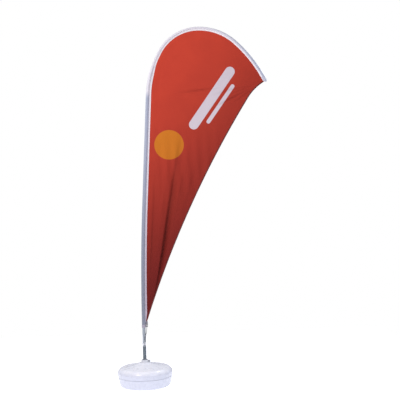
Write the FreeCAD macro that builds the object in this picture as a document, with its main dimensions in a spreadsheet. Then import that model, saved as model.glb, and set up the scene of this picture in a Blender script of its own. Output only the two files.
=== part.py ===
"""Teardrop flag on a round base filled with water, as a parametric FreeCAD document.

+Z is up and the origin is the middle of the base's underside, on the floor.  The flag stands in the XZ
plane, with its pole rising from the origin and its sail on the +X side.  Sizes are in millimetres and
degrees.  The pole's centreline is one chain of straight runs and arcs, each tangent to the next, and a
station is a distance along it from the pole's foot.
"""
import FreeCAD
import Part
import Sketcher
import math
import os

Vector = FreeCAD.Vector
UP = Vector(0, 0, 1)
SIZES = {
    # base: a blow-moulded tank with a well in the middle
    "tank_radius": 225,
    "tank_foot_radius": 204,
    "foot_round": 12,
    "belt_radius": 220,
    "belt_height": 78,
    "belt_step": 2.5,
    "shoulder_height": 118,
    "shoulder_round": 34,
    "crown_radius": 200,
    "crown_height": 149,
    "slope_radius": 100,
    "slope_height": 169,
    "hub_radius": 48,
    "hub_height": 186,
    "tank_wall": 4,
    "boss_radius": 60,
    "underside_radius": 150,
    "underside_lift": 6,
    "well_radius": 14.3,
    "well_floor": 8,
    "fill_level": 105,
    "fill_gap": 0.4,
    # filler: a screw cap in a round recess
    "filler_x": 84,
    "filler_y": 22,
    "pad_height": 150,
    "recess_radius": 34,
    "neck_radius": 20,
    "neck_hole": 16,
    "neck_height": 12,
    "cap_radius": 27,
    "cap_gap": 1.5,
    "cap_top": 3,
    "cap_rib": 1.2,
    "cap_ribs": 24,
    "washer_thick": 2,
    "thread_gap": 0.4,
    # socket in the well, its collar and its lock screw
    "socket_radius": 14,
    "socket_bore": 11.15,
    "socket_flange": 24,
    "flange_thick": 2.5,
    "collar_skirt": 44,
    "collar_radius": 29,
    "collar_top": 209,
    "lock_height": 199,
    "lock_stud": 3.95,
    "lock_insert": 6,
    "lock_insert_start": 18,
    "lock_knob": 8,
    "lock_knob_start": 31,
    "lock_knob_length": 14,
    "lock_knob_lobes": 6,
    "lock_pad": 3,
    # spindle: a fixed axle, two ball bearings and a rotor that carries the pole
    "shank_radius": 11,
    "shank_end": 12,
    "plate_radius": 19,
    "plate_thick": 3.2,
    "seat_radius": 7.6,
    "seat_height": 4,
    "axle_radius": 5.98,
    "axle_top": 303.5,
    "race_bore": 6,
    "race_outside": 12,
    "race_width": 6,
    "inner_land": 7.8,
    "outer_land": 10.2,
    "ball_radius": 1.6,
    "ball_pitch": 9,
    "ball_count": 11,
    "ball_gap": 0.05,
    "cage_thick": 0.8,
    "cage_width": 4,
    "upper_race_base": 294.2,
    "clip_thick": 1.1,
    "clip_depth": 0.5,
    "rotor_radius": 14,
    "rotor_bore": 12.02,
    "rotor_base": 214,
    "rotor_top": 312,
    "post_flange": 4,
    "post_radius": 11.1,
    "post_length": 115,
    # pole centreline
    "foot_run": 120,
    "bow_length": 1055,
    "bow_turn": 3.6,
    "lean_run": 875,
    "rise_length": 366,
    "rise_turn": 26.4,
    "crown_length": 394,
    "crown_turn": 61.7,
    "fall_length": 329,
    "fall_turn": 41.8,
    "end_length": 411,
    "end_turn": 21.2,
    # pole sections
    "pole_radius": 13,
    "pole_bore": 11.2,
    "section_length": 1030,
    "joiner_bore": 9.6,
    "joiner_below": 100,
    "joiner_above": 60,
    "reducer_length": 60,
    "whip_radius": 6.5,
    "whip_bore": 4.6,
    "whip_start": 1920,
    "whip_end": 2790,
    "ferrule_radius": 7.5,
    "ferrule_length": 50,
    "rod_radius": 4.5,
    "rod_start": 2700,
    "rod_end": 3541,
    "ball_cap_radius": 6.2,
    "ball_cap_start": 3526,
    "ball_cap_end": 3545,
    "slip_gap": 0.05,
    # sail and the sleeve that the pole runs in
    "sleeve_radius": 15,
    "sleeve_thick": 0.8,
    "sleeve_start": 154,
    "sleeve_taper": 2200,
    "sleeve_narrow": 2340,
    "sleeve_end": 3538,
    "arch_sleeve": 10.5,
    "band_length": 25,
    "band_thick": 0.75,
    "sail_thick": 1.3,
    "sail_end": 3540,
    "seam_width": 14,
    "arch_seam": 10.5,
    "corner_x": 18,
    "corner_z": 490,
    "leech_x": 905,
    "leech_z": 2314,
    "leech_radius": 8200,
    "hem_width": 9,
    "hem_thick": 0.8,
    "pocket_radius": 12.5,
    "pocket_start": 3500,
    "pocket_end": 3549,
    # lower corner: webbing tab, eyelet, elastic and hook
    "tab_left": 16.2,
    "tab_right": 33,
    "tab_bottom": 473,
    "tab_top": 520,
    "tab_thick": 4.6,
    "eyelet_x": 25,
    "eyelet_z": 486,
    "eyelet_hole": 4,
    "eyelet_rim": 7.5,
    "eyelet_thick": 6.2,
    "elastic_radius": 1.5,
    "hook_angle": -70,
    "hook_base": 328,
    "hook_height": 16,
    "hook_ring": 16.5,
    "hook_reach": 26,
    "hook_lip": 3,
    "hook_width": 9,
    "hook_shelf": 334,
    "hook_lug": 18,
    "knot_radius": 3,
    "knot_height": 325,
}

doc = FreeCAD.newDocument("TeardropFlag")
sheet = doc.addObject("Spreadsheet::Sheet", "Sizes")
for row, (alias, number) in enumerate(SIZES.items(), start=1):
    sheet.set(f"A{row}", alias)
    sheet.set(f"B{row}", str(number))
    sheet.setAlias(f"B{row}", alias)
doc.recompute()
subparts = []


class Size:
    """A length or an angle, as a number and as the expression over the sheet's cells that gives it."""

    def __init__(self, number, text):
        self.number = number
        self.text = text

    def __add__(self, other):
        other = as_size(other)
        return Size(self.number + other.number, f"({self.text} + {other.text})")

    def __sub__(self, other):
        other = as_size(other)
        return Size(self.number - other.number, f"({self.text} - {other.text})")

    def __mul__(self, other):
        other = as_size(other)
        return Size(self.number * other.number, f"({self.text} * {other.text})")

    def __neg__(self):
        return Size(-self.number, f"(-1 * {self.text})")


def as_size(value):
    return value if isinstance(value, Size) else Size(float(value), repr(float(value)))


def cell(alias):
    """The sheet's cell of that alias, for a dimension that is bound to it."""
    return Size(float(sheet.get(alias)), f"Sizes.{alias}")


def mm(alias):
    """The number in the sheet's cell of that alias, for shapes made with Part's functions."""
    return float(sheet.get(alias))


# ---------------------------------------------------------------- sketches and features


def pin_coordinate(sketch, kind, axis, geometry, point, size):
    """Holds one coordinate of a sketch point to a size from the sheet."""
    if abs(size.number) < 1e-9:
        sketch.addConstraint(Sketcher.Constraint("PointOnObject", geometry, point, axis))
    elif size.number < 0:
        index = sketch.addConstraint(Sketcher.Constraint(kind, geometry, point, -1, 1, -size.number))
        sketch.setExpression(f"Constraints[{index}]", (-size).text)
    else:
        index = sketch.addConstraint(Sketcher.Constraint(kind, -1, 1, geometry, point, size.number))
        sketch.setExpression(f"Constraints[{index}]", size.text)


def draw_loop(sketch, corners):
    """A closed outline.  A corner is (x, y), or (x, y, radius) where the side that follows it is an arc
    that turns left with that radius."""
    corners = [tuple(as_size(value) for value in corner) for corner in corners]
    start_points = []
    end_points = []
    for corner, following in zip(corners, corners[1:] + corners[:1]):
        start = Vector(corner[0].number, corner[1].number, 0)
        end = Vector(following[0].number, following[1].number, 0)
        if len(corner) == 3:
            chord = end - start
            half = chord.Length / 2
            across = Vector(-chord.y, chord.x, 0).normalize()
            rise = math.sqrt(max(corner[2].number ** 2 - half ** 2, 0.0))
            middle = start + chord * 0.5 - across * (corner[2].number - rise)
            side = sketch.addGeometry(Part.Arc(start, middle, end), False)
            index = sketch.addConstraint(Sketcher.Constraint("Radius", side, corner[2].number))
            sketch.setExpression(f"Constraints[{index}]", corner[2].text)
        else:
            side = sketch.addGeometry(Part.LineSegment(start, end), False)
        start_points.append((side, 1))
        end_points.append((side, 2))
    for number, corner in enumerate(corners):
        side, point = start_points[number]
        sketch.addConstraint(Sketcher.Constraint("Coincident", *end_points[number - 1], side, point))
        pin_coordinate(sketch, "DistanceX", -2, side, point, corner[0])
        pin_coordinate(sketch, "DistanceY", -1, side, point, corner[1])


def draw_circle(sketch, centre_x, centre_y, radius):
    centre_x, centre_y, radius = as_size(centre_x), as_size(centre_y), as_size(radius)
    centre = Vector(centre_x.number, centre_y.number, 0)
    circle = sketch.addGeometry(Part.Circle(centre, Vector(0, 0, 1), radius.number), False)
    pin_coordinate(sketch, "DistanceX", -2, circle, 3, centre_x)
    pin_coordinate(sketch, "DistanceY", -1, circle, 3, centre_y)
    index = sketch.addConstraint(Sketcher.Constraint("Radius", circle, radius.number))
    sketch.setExpression(f"Constraints[{index}]", radius.text)


def origin_plane(body, role):
    return next(feature for feature in body.Origin.OriginFeatures if feature.Role == role)


def new_body(label):
    body = doc.addObject("PartDesign::Body", label)
    body.Label = label
    return body


def body_sketch(body, name, plane, height=0.0):
    """A sketch on one of the body's own planes, lifted by height along that plane's normal."""
    sketch = body.newObject("Sketcher::SketchObject", name)
    sketch.AttachmentSupport = [(origin_plane(body, plane), "")]
    sketch.MapMode = "FlatFace"
    if isinstance(height, Size):
        sketch.setExpression(".AttachmentOffset.Base.z", height.text)
    return sketch


def keep(sub_part, placement=None):
    """Lists a finished object of the document as a sub-part, and puts it in its place."""
    if placement is not None:
        sub_part.Placement = placement
    subparts.append(sub_part)
    return sub_part


def at(x=0.0, y=0.0, z=0.0, rotation=None):
    return FreeCAD.Placement(Vector(x, y, z), rotation or FreeCAD.Rotation())


def turned(label, corners):
    """A body turned about its own Z axis from a closed outline of (radius, height) corners."""
    body = new_body(label)
    sketch = body_sketch(body, label + "_outline", "XZ_Plane")
    draw_loop(sketch, corners)
    feature = body.newObject("PartDesign::Revolution", label + "_turned")
    feature.Profile = sketch
    feature.ReferenceAxis = (sketch, ["V_Axis"])
    feature.Angle = 360
    sketch.Visibility = False
    return body


def ring(label, inner, outer, base, height):
    """A plain round ring or tube."""
    top = as_size(base) + height
    return turned(label, [(inner, base), (outer, base), (outer, top), (inner, top)])


def pad(body, name, sketch, length, reverse=False):
    feature = body.newObject("PartDesign::Pad", name)
    feature.Profile = sketch
    feature.setExpression("Length", as_size(length).text)
    feature.Reversed = reverse
    return feature


def revolved_outline(name, corners):
    """A solid of revolution about the document's Z axis, for use in booleans."""
    sketch = doc.addObject("Sketcher::SketchObject", name + "_outline")
    sketch.Placement = at(rotation=FreeCAD.Rotation(Vector(1, 0, 0), 90))
    draw_loop(sketch, corners)
    solid = doc.addObject("Part::Revolution", name)
    solid.Source = sketch
    solid.Axis = UP
    solid.Base = Vector(0, 0, 0)
    solid.Angle = 360
    solid.Solid = True
    return solid


def cylinder(name, radius, height, x=0, y=0, z=0):
    """A Part::Cylinder whose sizes and place are bound to the sheet."""
    solid = doc.addObject("Part::Cylinder", name)
    solid.setExpression("Radius", as_size(radius).text)
    solid.setExpression("Height", as_size(height).text)
    solid.setExpression("Placement.Base.x", as_size(x).text)
    solid.setExpression("Placement.Base.y", as_size(y).text)
    solid.setExpression("Placement.Base.z", as_size(z).text)
    return solid


def cut(name, base, tool):
    result = doc.addObject("Part::Cut", name)
    result.Base = base
    result.Tool = tool
    result.Label = name
    return result


def fuse(name, *shapes):
    result = doc.addObject("Part::MultiFuse", name)
    result.Shapes = list(shapes)
    result.Label = name
    return result


def shaped(label, shape, placement=None):
    """A sub-part whose shape is made with Part's own functions."""
    feature = doc.addObject("Part::Feature", label)
    feature.Label = label
    feature.Shape = shape
    return keep(feature, placement)


# ---------------------------------------------------------------- base

wall = cell("tank_wall")
filler_x = cell("filler_x")
filler_y = cell("filler_y")
pad_height = cell("pad_height")
neck_top = pad_height + cell("neck_height")
TALL = 80.0


def tank_outside():
    return [
        (0, 0),
        (cell("boss_radius"), 0),
        (cell("boss_radius") + 10, cell("underside_lift")),
        (cell("underside_radius"), cell("underside_lift")),
        (cell("underside_radius") + 10, 0),
        (cell("tank_foot_radius") - cell("foot_round"), 0, cell("foot_round")),
        (cell("tank_foot_radius"), cell("foot_round")),
        (cell("belt_radius"), cell("belt_height")),
        (cell("belt_radius") - cell("belt_step"), cell("belt_height") + cell("belt_step")),
        (cell("belt_radius") + 2, cell("belt_height") + cell("belt_step") * 2),
        (cell("tank_radius"), cell("shoulder_height"), cell("shoulder_round")),
        (cell("crown_radius"), cell("crown_height")),
        (cell("slope_radius"), cell("slope_height")),
        (cell("hub_radius") + 4, cell("hub_height") - 6),
        (cell("hub_radius"), cell("hub_height")),
        (cell("well_radius"), cell("hub_height")),
        (cell("well_radius"), cell("well_floor")),
        (0, cell("well_floor")),
    ]


def tank_inside(gap, top=None):
    """The cavity's outline, drawn in by gap all round, and cut off at a level for the water."""
    floor = cell("underside_lift") + wall + gap
    foot = wall + gap
    outline = [
        (cell("well_radius") + wall + gap, floor),
        (cell("underside_radius") - wall, floor),
        (cell("underside_radius") + 10, foot),
        (cell("tank_foot_radius") - cell("foot_round"), foot),
        (cell("tank_foot_radius") - wall - gap, cell("foot_round") + gap),
        (cell("belt_radius") - wall - cell("belt_step") - gap, cell("belt_height")),
    ]
    if top is not None:
        outline += [
            (cell("tank_radius") - wall - cell("belt_step") - gap, top),
            (cell("well_radius") + wall + gap, top),
        ]
        return outline
    return outline + [
        (cell("tank_radius") - wall, cell("shoulder_height"), cell("shoulder_round") - wall),
        (cell("crown_radius"), cell("crown_height") - wall - 0.4),
        (cell("slope_radius") - 1, cell("slope_height") - wall),
        (cell("hub_radius"), cell("hub_height") - wall - 6),
        (cell("well_radius") + wall, cell("hub_height") - wall - 4),
    ]


def make_base_tank():
    """Hollow tank: a filler pad sunk into the slope, with a neck for the cap, and a well in the middle."""
    recess = cell("recess_radius")
    pad_base = pad_height - wall - 2
    outside = revolved_outline("tank_outside", tank_outside())
    inside = revolved_outline("tank_inside", tank_inside(Size(0.0, "0")))
    boss_room = cylinder("boss_room", recess + wall, TALL, filler_x, filler_y, pad_base)
    boss = cylinder("boss", recess + wall, wall + 2, filler_x, filler_y, pad_base)
    recess_room = cylinder("recess_room", recess, TALL, filler_x, filler_y, pad_height)
    neck = cylinder("neck", cell("neck_radius"), cell("neck_height"), filler_x, filler_y, pad_height)
    hole = cylinder("neck_opening", cell("neck_hole"), TALL, filler_x, filler_y, pad_base - 1)
    cavity = cut("tank_cavity", inside, boss_room)
    walls = cut("tank_walls", fuse("tank_mass", outside, boss), cavity)
    recessed = cut("tank_recessed", walls, recess_room)
    keep(cut("base_tank", fuse("tank_with_neck", recessed, neck), hole))


def make_ballast():
    keep(turned("ballast_water", tank_inside(cell("fill_gap"), cell("fill_level"))))


def make_filler_cap():
    """Screw cap with grip ribs, and the flat washer that it presses on the neck."""
    cap_base = pad_height + cell("cap_gap")
    ceiling = neck_top + cell("washer_thick")
    cap_radius = cell("cap_radius")
    bore = cell("neck_radius") + cell("thread_gap")
    cap = turned(
        "filler_cap",
        [
            (bore, cap_base),
            (cap_radius, cap_base),
            (cap_radius, ceiling + 1),
            (cap_radius - 2, ceiling + cell("cap_top")),
            (cap_radius - 9, ceiling + cell("cap_top")),
            (cap_radius - 10, ceiling + cell("cap_top") - 1),
            (0, ceiling + cell("cap_top") - 1),
            (0, ceiling),
            (bore, ceiling),
        ],
    )
    sketch = body_sketch(cap, "rib_outline", "XY_Plane", cap_base)
    draw_circle(sketch, cap_radius, 0, cell("cap_rib"))
    rib = pad(cap, "rib", sketch, ceiling - cap_base)
    doc.recompute()
    ribs = cap.newObject("PartDesign::PolarPattern", "ribs")
    ribs.Originals = [rib]
    ribs.Axis = (origin_plane(cap, "Z_Axis"), [""])
    ribs.Angle = 360
    ribs.Occurrences = int(mm("cap_ribs"))
    cap.Tip = ribs
    place = at(mm("filler_x"), mm("filler_y"))
    keep(cap, place)
    washer = ring("filler_washer", cell("neck_hole"), cell("neck_radius"), neck_top, cell("washer_thick"))
    keep(washer, place)


def make_socket():
    """Steel socket with a flange, under a plastic collar that carries the lock screw's brass insert."""
    hub = cell("hub_height")
    socket = turned(
        "socket_tube",
        [
            (0, cell("well_floor")),
            (cell("socket_radius"), cell("well_floor")),
            (cell("socket_radius"), hub),
            (cell("socket_flange"), hub),
            (cell("socket_flange"), hub + cell("flange_thick")),
            (cell("socket_radius"), hub + cell("flange_thick")),
            (cell("socket_radius"), cell("collar_top")),
            (cell("socket_bore"), cell("collar_top")),
            (cell("socket_bore"), cell("well_floor") + 3),
            (0, cell("well_floor") + 3),
        ],
    )
    add_lock_hole(socket, "socket_hole", cell("lock_stud") + 0.4)
    keep(socket)
    flange_room = hub + cell("flange_thick") + 0.1
    collar = turned(
        "hub_collar",
        [
            (cell("socket_flange") + 0.3, hub),
            (cell("collar_skirt"), hub),
            (cell("collar_skirt"), hub + 1.5),
            (cell("collar_radius") + 1, hub + 3.5),
            (cell("collar_radius"), hub + 4.5),
            (cell("collar_radius"), cell("collar_top") - 3, 3),
            (cell("collar_radius") - 3, cell("collar_top")),
            (cell("well_radius"), cell("collar_top")),
            (cell("well_radius"), flange_room),
            (cell("socket_flange") + 0.3, flange_room),
        ],
    )
    add_lock_hole(collar, "collar_hole", cell("lock_insert") + 0.02)
    keep(collar)


def add_lock_hole(body, name, radius):
    """A hole along +X at the lock screw's height, from the axis out through one wall."""
    doc.recompute()
    before = body.Shape.Volume
    sketch = body_sketch(body, name + "_outline", "YZ_Plane")
    draw_circle(sketch, 0, cell("lock_height"), radius)
    hole = body.newObject("PartDesign::Pocket", name)
    hole.Profile = sketch
    hole.Length = TALL
    hole.Reversed = True
    doc.recompute()
    if body.Shape.Volume > before - 1:
        raise RuntimeError(f"{name} cut nothing")


def along_x(start):
    """Turns a piece that was made along +Z to lie along +X at the lock screw's height."""
    return at(start, 0, mm("lock_height"), FreeCAD.Rotation(Vector(0, 1, 0), 90))


def make_lock_screw():
    insert_end = cell("collar_radius")
    insert_start = cell("lock_insert_start")
    insert = ring(
        "lock_insert",
        cell("lock_stud") + 0.1,
        cell("lock_insert"),
        0,
        insert_end - insert_start,
    )
    keep(insert, along_x(mm("lock_insert_start")))
    pad_start = mm("shank_radius") + 0.05
    pad_length = cell("socket_radius") - cell("shank_radius") - 0.05
    keep(turned("lock_pad", [(0, 0), (cell("lock_pad"), 0), (cell("lock_pad"), pad_length), (0, pad_length)]),
         along_x(pad_start))
    stud_length = cell("lock_knob_start") - cell("socket_radius") + 3 - 0.05
    stud = turned(
        "lock_stud",
        [
            (0, 0),
            (cell("lock_stud") - 0.8, 0),
            (cell("lock_stud"), 0.8),
            (cell("lock_stud"), stud_length),
            (0, stud_length),
        ],
    )
    keep(stud, along_x(mm("socket_radius") + 0.05))
    knob = turned(
        "lock_knob",
        [
            (0, 3),
            (cell("lock_stud"), 3),
            (cell("lock_stud"), 0),
            (cell("lock_knob") - 3, 0),
            (cell("lock_knob"), 4),
            (cell("lock_knob"), cell("lock_knob_length") - 2, 2),
            (cell("lock_knob") - 2, cell("lock_knob_length")),
            (0, cell("lock_knob_length")),
        ],
    )
    doc.recompute()
    sketch = body_sketch(knob, "flute_outline", "XY_Plane")
    draw_circle(sketch, cell("lock_knob") + 1.5, 0, 3)
    flute = knob.newObject("PartDesign::Pocket", "flute")
    flute.Profile = sketch
    flute.Length = TALL
    flute.Reversed = True
    doc.recompute()
    flutes = knob.newObject("PartDesign::PolarPattern", "flutes")
    flutes.Originals = [flute]
    flutes.Axis = (origin_plane(knob, "Z_Axis"), [""])
    flutes.Angle = 360
    flutes.Occurrences = int(mm("lock_knob_lobes"))
    knob.Tip = flutes
    keep(knob, along_x(mm("lock_knob_start")))


# ---------------------------------------------------------------- spindle

plate_top = cell("collar_top") + cell("plate_thick")
lower_race = plate_top + cell("seat_height")
upper_race = cell("upper_race_base")
race_width = cell("race_width")


def make_axle():
    """Fixed axle: a shank in the socket, a plate on the collar, a seat and a journal for the bearings."""
    clip_base = upper_race + race_width
    journal = cell("axle_radius")
    groove = journal - cell("clip_depth")
    axle = turned(
        "spindle_axle",
        [
            (0, cell("shank_end")),
            (cell("shank_radius") - 2, cell("shank_end")),
            (cell("shank_radius"), cell("shank_end") + 2),
            (cell("shank_radius"), cell("collar_top")),
            (cell("plate_radius"), cell("collar_top")),
            (cell("plate_radius"), plate_top),
            (cell("seat_radius"), plate_top),
            (cell("seat_radius"), lower_race),
            (journal, lower_race),
            (journal, clip_base),
            (groove, clip_base),
            (groove, clip_base + cell("clip_thick")),
            (journal, clip_base + cell("clip_thick")),
            (journal, cell("axle_top") - 0.8),
            (journal - 0.8, cell("axle_top")),
            (0, cell("axle_top")),
        ],
    )
    keep(axle)
    keep(ring("dust_washer", cell("seat_radius") + 0.1, cell("rotor_radius"), plate_top, 1.6))
    keep(ring("inner_spacer", cell("race_bore") + 0.05, cell("inner_land") - 0.4,
              lower_race + race_width, upper_race - lower_race - race_width))
    keep(ring("axle_clip", groove, cell("seat_radius") + 0.6, clip_base, cell("clip_thick")))


def race(label, inner, outer, base):
    """A bearing race with the round groove that its balls roll in."""
    body = ring(label, inner, outer, 0, race_width)
    doc.recompute()
    before = body.Shape.Volume
    sketch = body_sketch(body, label + "_track", "XZ_Plane")
    draw_circle(sketch, cell("ball_pitch"), race_width * 0.5, cell("ball_radius") + cell("ball_gap"))
    track = body.newObject("PartDesign::Groove", label + "_groove")
    track.Profile = sketch
    track.ReferenceAxis = (sketch, ["V_Axis"])
    track.Angle = 360
    doc.recompute()
    if body.Shape.Volume > before - 1:
        raise RuntimeError(f"{label} has no track")
    keep(body, at(z=base))


def make_bearing(prefix, base):
    """A ball bearing: two races, the balls, and the cage that keeps the balls apart."""
    race(prefix + "_inner_race", cell("race_bore"), cell("inner_land"), base)
    race(prefix + "_outer_race", cell("outer_land"), cell("race_outside"), base)
    count = int(mm("ball_count"))
    pitch = mm("ball_pitch")
    middle = mm("race_width") / 2
    turn = 2 * math.pi / count
    angles = [turn * (step + 0.5) for step in range(count)]
    outward = [Vector(math.cos(angle), math.sin(angle), 0) for angle in angles]
    balls = [Part.makeSphere(mm("ball_radius"), way * pitch + UP * middle) for way in outward]
    shaped(prefix + "_balls", Part.makeCompound(balls), at(z=base))
    half = mm("cage_thick") / 2
    floor = Vector(0, 0, middle - mm("cage_width") / 2)
    cage = Part.makeCylinder(pitch + half, mm("cage_width"), floor)
    cage = cage.cut(Part.makeCylinder(pitch - half, mm("cage_width"), floor))
    window = mm("ball_radius") + mm("ball_gap")
    start = pitch - 2 * half
    windows = [Part.makeCylinder(window, 4 * half, way * start + UP * middle, way) for way in outward]
    shaped(prefix + "_cage", cage.cut(windows), at(z=base))


def make_rotor():
    """Rotor: a tube round the bearings, closed by the post that the pole drops over."""
    clip_base = lower_race - cell("clip_thick")
    bore = cell("rotor_bore")
    rotor = turned(
        "rotor_tube",
        [
            (bore, cell("rotor_base")),
            (cell("rotor_radius") - 0.8, cell("rotor_base")),
            (cell("rotor_radius"), cell("rotor_base") + 0.8),
            (cell("rotor_radius"), cell("rotor_top")),
            (bore, cell("rotor_top")),
            (bore, lower_race),
            (bore + cell("clip_depth"), lower_race),
            (bore + cell("clip_depth"), clip_base),
            (bore, clip_base),
        ],
    )
    keep(rotor)
    clip_inner = cell("outer_land") + 0.6
    keep(ring("rotor_clip", clip_inner, bore + cell("clip_depth"), clip_base, cell("clip_thick")))
    keep(ring("outer_spacer", cell("outer_land") + 0.4, cell("race_outside"),
              lower_race + race_width, upper_race - lower_race - race_width))
    flange_top = cell("rotor_top") + cell("post_flange")
    post_top = flange_top + cell("post_length")
    post = turned(
        "rotor_post",
        [
            (cell("outer_land") + 0.6, upper_race + race_width),
            (cell("race_outside"), upper_race + race_width),
            (cell("race_outside"), cell("rotor_top")),
            (cell("rotor_radius"), cell("rotor_top")),
            (cell("rotor_radius"), flange_top),
            (cell("post_radius"), flange_top),
            (cell("post_radius"), post_top - 3),
            (cell("post_radius") - 1.5, post_top),
            (0, post_top),
            (0, cell("axle_top") + 1.5),
            (cell("outer_land") + 0.6, cell("axle_top") + 1.5),
        ],
    )
    keep(post)


# ---------------------------------------------------------------- pole centreline

FOOT = mm("rotor_top") + mm("post_flange")
CENTRELINE = [
    (mm("foot_run"), 0.0),
    (mm("bow_length"), mm("bow_turn")),
    (mm("lean_run"), 0.0),
    (mm("rise_length"), mm("rise_turn")),
    (mm("crown_length"), mm("crown_turn")),
    (mm("fall_length"), mm("fall_turn")),
    (mm("end_length"), mm("end_turn")),
]


def heading_vector(heading):
    return Vector(math.sin(heading), 0, math.cos(heading))


def inward_vector(heading):
    """At right angles to the pole, towards the sail."""
    return Vector(math.cos(heading), 0, -math.sin(heading))


def advance(point, heading, length, turn):
    """Where a run or arc of that length ends, when it starts at point and turns evenly towards the sail."""
    if abs(turn) < 1e-9:
        return point + heading_vector(heading) * length, heading
    radius = length / turn
    centre = point + inward_vector(heading) * radius
    heading += turn
    return centre - inward_vector(heading) * radius, heading


def pieces_between(start, end):
    """The runs and arcs of the centreline between two stations, as (point, heading, length, turn)."""
    found = []
    point, heading, passed = Vector(0, 0, FOOT), 0.0, 0.0
    for length, degrees in CENTRELINE:
        turn = math.radians(degrees)
        first, last = max(start, passed), min(end, passed + length)
        if last > first + 1e-6:
            inside, direction = advance(point, heading, first - passed, turn * (first - passed) / length)
            found.append((inside, direction, last - first, turn * (last - first) / length))
        point, heading = advance(point, heading, length, turn)
        passed += length
    return found


def station(distance, offset=0.0):
    """The point at a station, moved by offset towards the sail, and the heading there."""
    point, heading, length, turn = pieces_between(0.0, distance)[-1]
    point, heading = advance(point, heading, length, turn)
    return point + inward_vector(heading) * offset, heading


def centreline_edges(start, end, offset=0.0):
    """Edges along the centreline, or beside it at an even offset towards the sail."""
    edges = []
    for point, heading, length, turn in pieces_between(start, end):
        middle, middle_heading = advance(point, heading, length / 2, turn / 2)
        last, last_heading = advance(point, heading, length, turn)
        first = point + inward_vector(heading) * offset
        last = last + inward_vector(last_heading) * offset
        if turn:
            middle = middle + inward_vector(middle_heading) * offset
            edges.append(Part.Arc(first, middle, last).toShape())
        else:
            edges.append(Part.LineSegment(first, last).toShape())
    return edges


def rod(start, end, radius):
    """A round rod bent along the centreline, checked against its section times its length."""
    point, heading = station(start) if start > 0 else (Vector(0, 0, FOOT), 0.0)
    section = Part.Wire(Part.makeCircle(radius, point, heading_vector(heading)))
    solid = Part.Wire(centreline_edges(start, end)).makePipeShell([section], True, False)
    expected = math.pi * radius ** 2 * (end - start)
    if abs(solid.Volume - expected) > 0.002 * expected:
        raise RuntimeError(f"the rod from {start} to {end} has the wrong volume")
    return solid


def tube(start, end, radius, bore):
    return rod(start, end, radius).cut(rod(start, end, bore))


# ---------------------------------------------------------------- pole


def make_pole():
    """Two aluminium tubes with an inner joiner, then a fibreglass whip in two lengths."""
    joint = mm("section_length")
    mouth = joint * 2
    shaped("pole_section_1", tube(0, joint, mm("pole_radius"), mm("pole_bore")))
    shaped("pole_section_2", tube(joint, mouth, mm("pole_radius"), mm("pole_bore")))
    low, high = joint - mm("joiner_below"), joint + mm("joiner_above")
    joiner = tube(low, high, mm("pole_bore") - 0.1, mm("joiner_bore"))
    shaped("pole_joiner", joiner)
    snug = mm("whip_radius") + mm("slip_gap")
    bush = tube(mouth - mm("reducer_length"), mouth, mm("pole_bore") - mm("slip_gap"), snug)
    lip = tube(mouth, mouth + 4, mm("pole_radius"), snug)
    shaped("reducer_bush", bush.fuse(lip).removeSplitter())
    shaped("whip_lower", tube(mm("whip_start"), mm("whip_end"), mm("whip_radius"), mm("whip_bore")))
    ferrule_start = mm("whip_end") - mm("ferrule_length")
    shaped("whip_ferrule", tube(ferrule_start, mm("whip_end"), mm("ferrule_radius"), snug))
    shaped("whip_upper", rod(mm("rod_start"), mm("rod_end"), mm("rod_radius")))
    cap_radius = mm("ball_cap_radius")
    skirt = tube(mm("ball_cap_start"), mm("rod_end"), cap_radius, mm("rod_radius") + mm("slip_gap"))
    shaped("whip_end_cap", skirt.fuse(rod(mm("rod_end"), mm("ball_cap_end"), cap_radius)).removeSplitter())


# ---------------------------------------------------------------- sail


def tapered_rod(start, end, first_radius, last_radius):
    """A round rod along the centreline whose radius changes evenly from start to end."""
    steps = 6
    sections = []
    for step in range(steps + 1):
        part_way = step / steps
        point, heading = station(start + (end - start) * part_way)
        radius = first_radius + (last_radius - first_radius) * part_way
        sections.append(Part.Wire(Part.makeCircle(radius, point, heading_vector(heading))))
    return Part.makeLoft(sections, True, False)


def make_sleeve():
    """The fabric sleeve: wide over the aluminium, narrow over the whip, with a hemmed lower end."""
    start, taper = mm("sleeve_start"), mm("sleeve_taper")
    narrow, end = mm("sleeve_narrow"), mm("sleeve_end")
    wide, slim, thick = mm("sleeve_radius"), mm("arch_sleeve"), mm("sleeve_thick")
    lower = tube(start, taper, wide, wide - thick)
    middle = tapered_rod(taper, narrow, wide, slim)
    middle = middle.cut(tapered_rod(taper, narrow, wide - thick, slim - thick))
    upper = tube(narrow, end, slim, slim - thick)
    shaped("pole_sleeve", lower.fuse([middle, upper]).removeSplitter())
    inner = wide + mm("slip_gap")
    band = tube(start, start + mm("band_length"), inner + mm("band_thick"), inner)
    shaped("sleeve_band", band)
    pocket = mm("pocket_radius")
    sides = tube(mm("pocket_start"), mm("pocket_end") - 2, pocket, slim + 0.1)
    cover = rod(mm("pocket_end") - 2, mm("pocket_end"), pocket)
    room = panel(mm("sail_thick") + 2 * mm("slip_gap"))
    shaped("tip_pocket", sides.fuse(cover).removeSplitter().cut(room))


def luff_edges(start, wide, slim):
    """The sleeve's inner side from a station to the tip, wide below its taper and slim above it."""
    taper, narrow, end = mm("sleeve_taper"), mm("sleeve_narrow"), mm("sail_end")
    halfway = station((taper + narrow) / 2, (wide + slim) / 2)[0]
    joining = Part.Arc(station(taper, wide)[0], halfway, station(narrow, slim)[0]).toShape()
    return centreline_edges(start, taper, wide) + [joining] + centreline_edges(narrow, end, slim)


def arc_centre(start, end, radius):
    """The centre of an arc from start to end that hollows the sail's free edge."""
    chord = end - start
    outward = Vector(chord.z, 0, -chord.x).normalize()
    return start + chord * 0.5 + outward * math.sqrt(radius ** 2 - (chord.Length / 2) ** 2)


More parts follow.
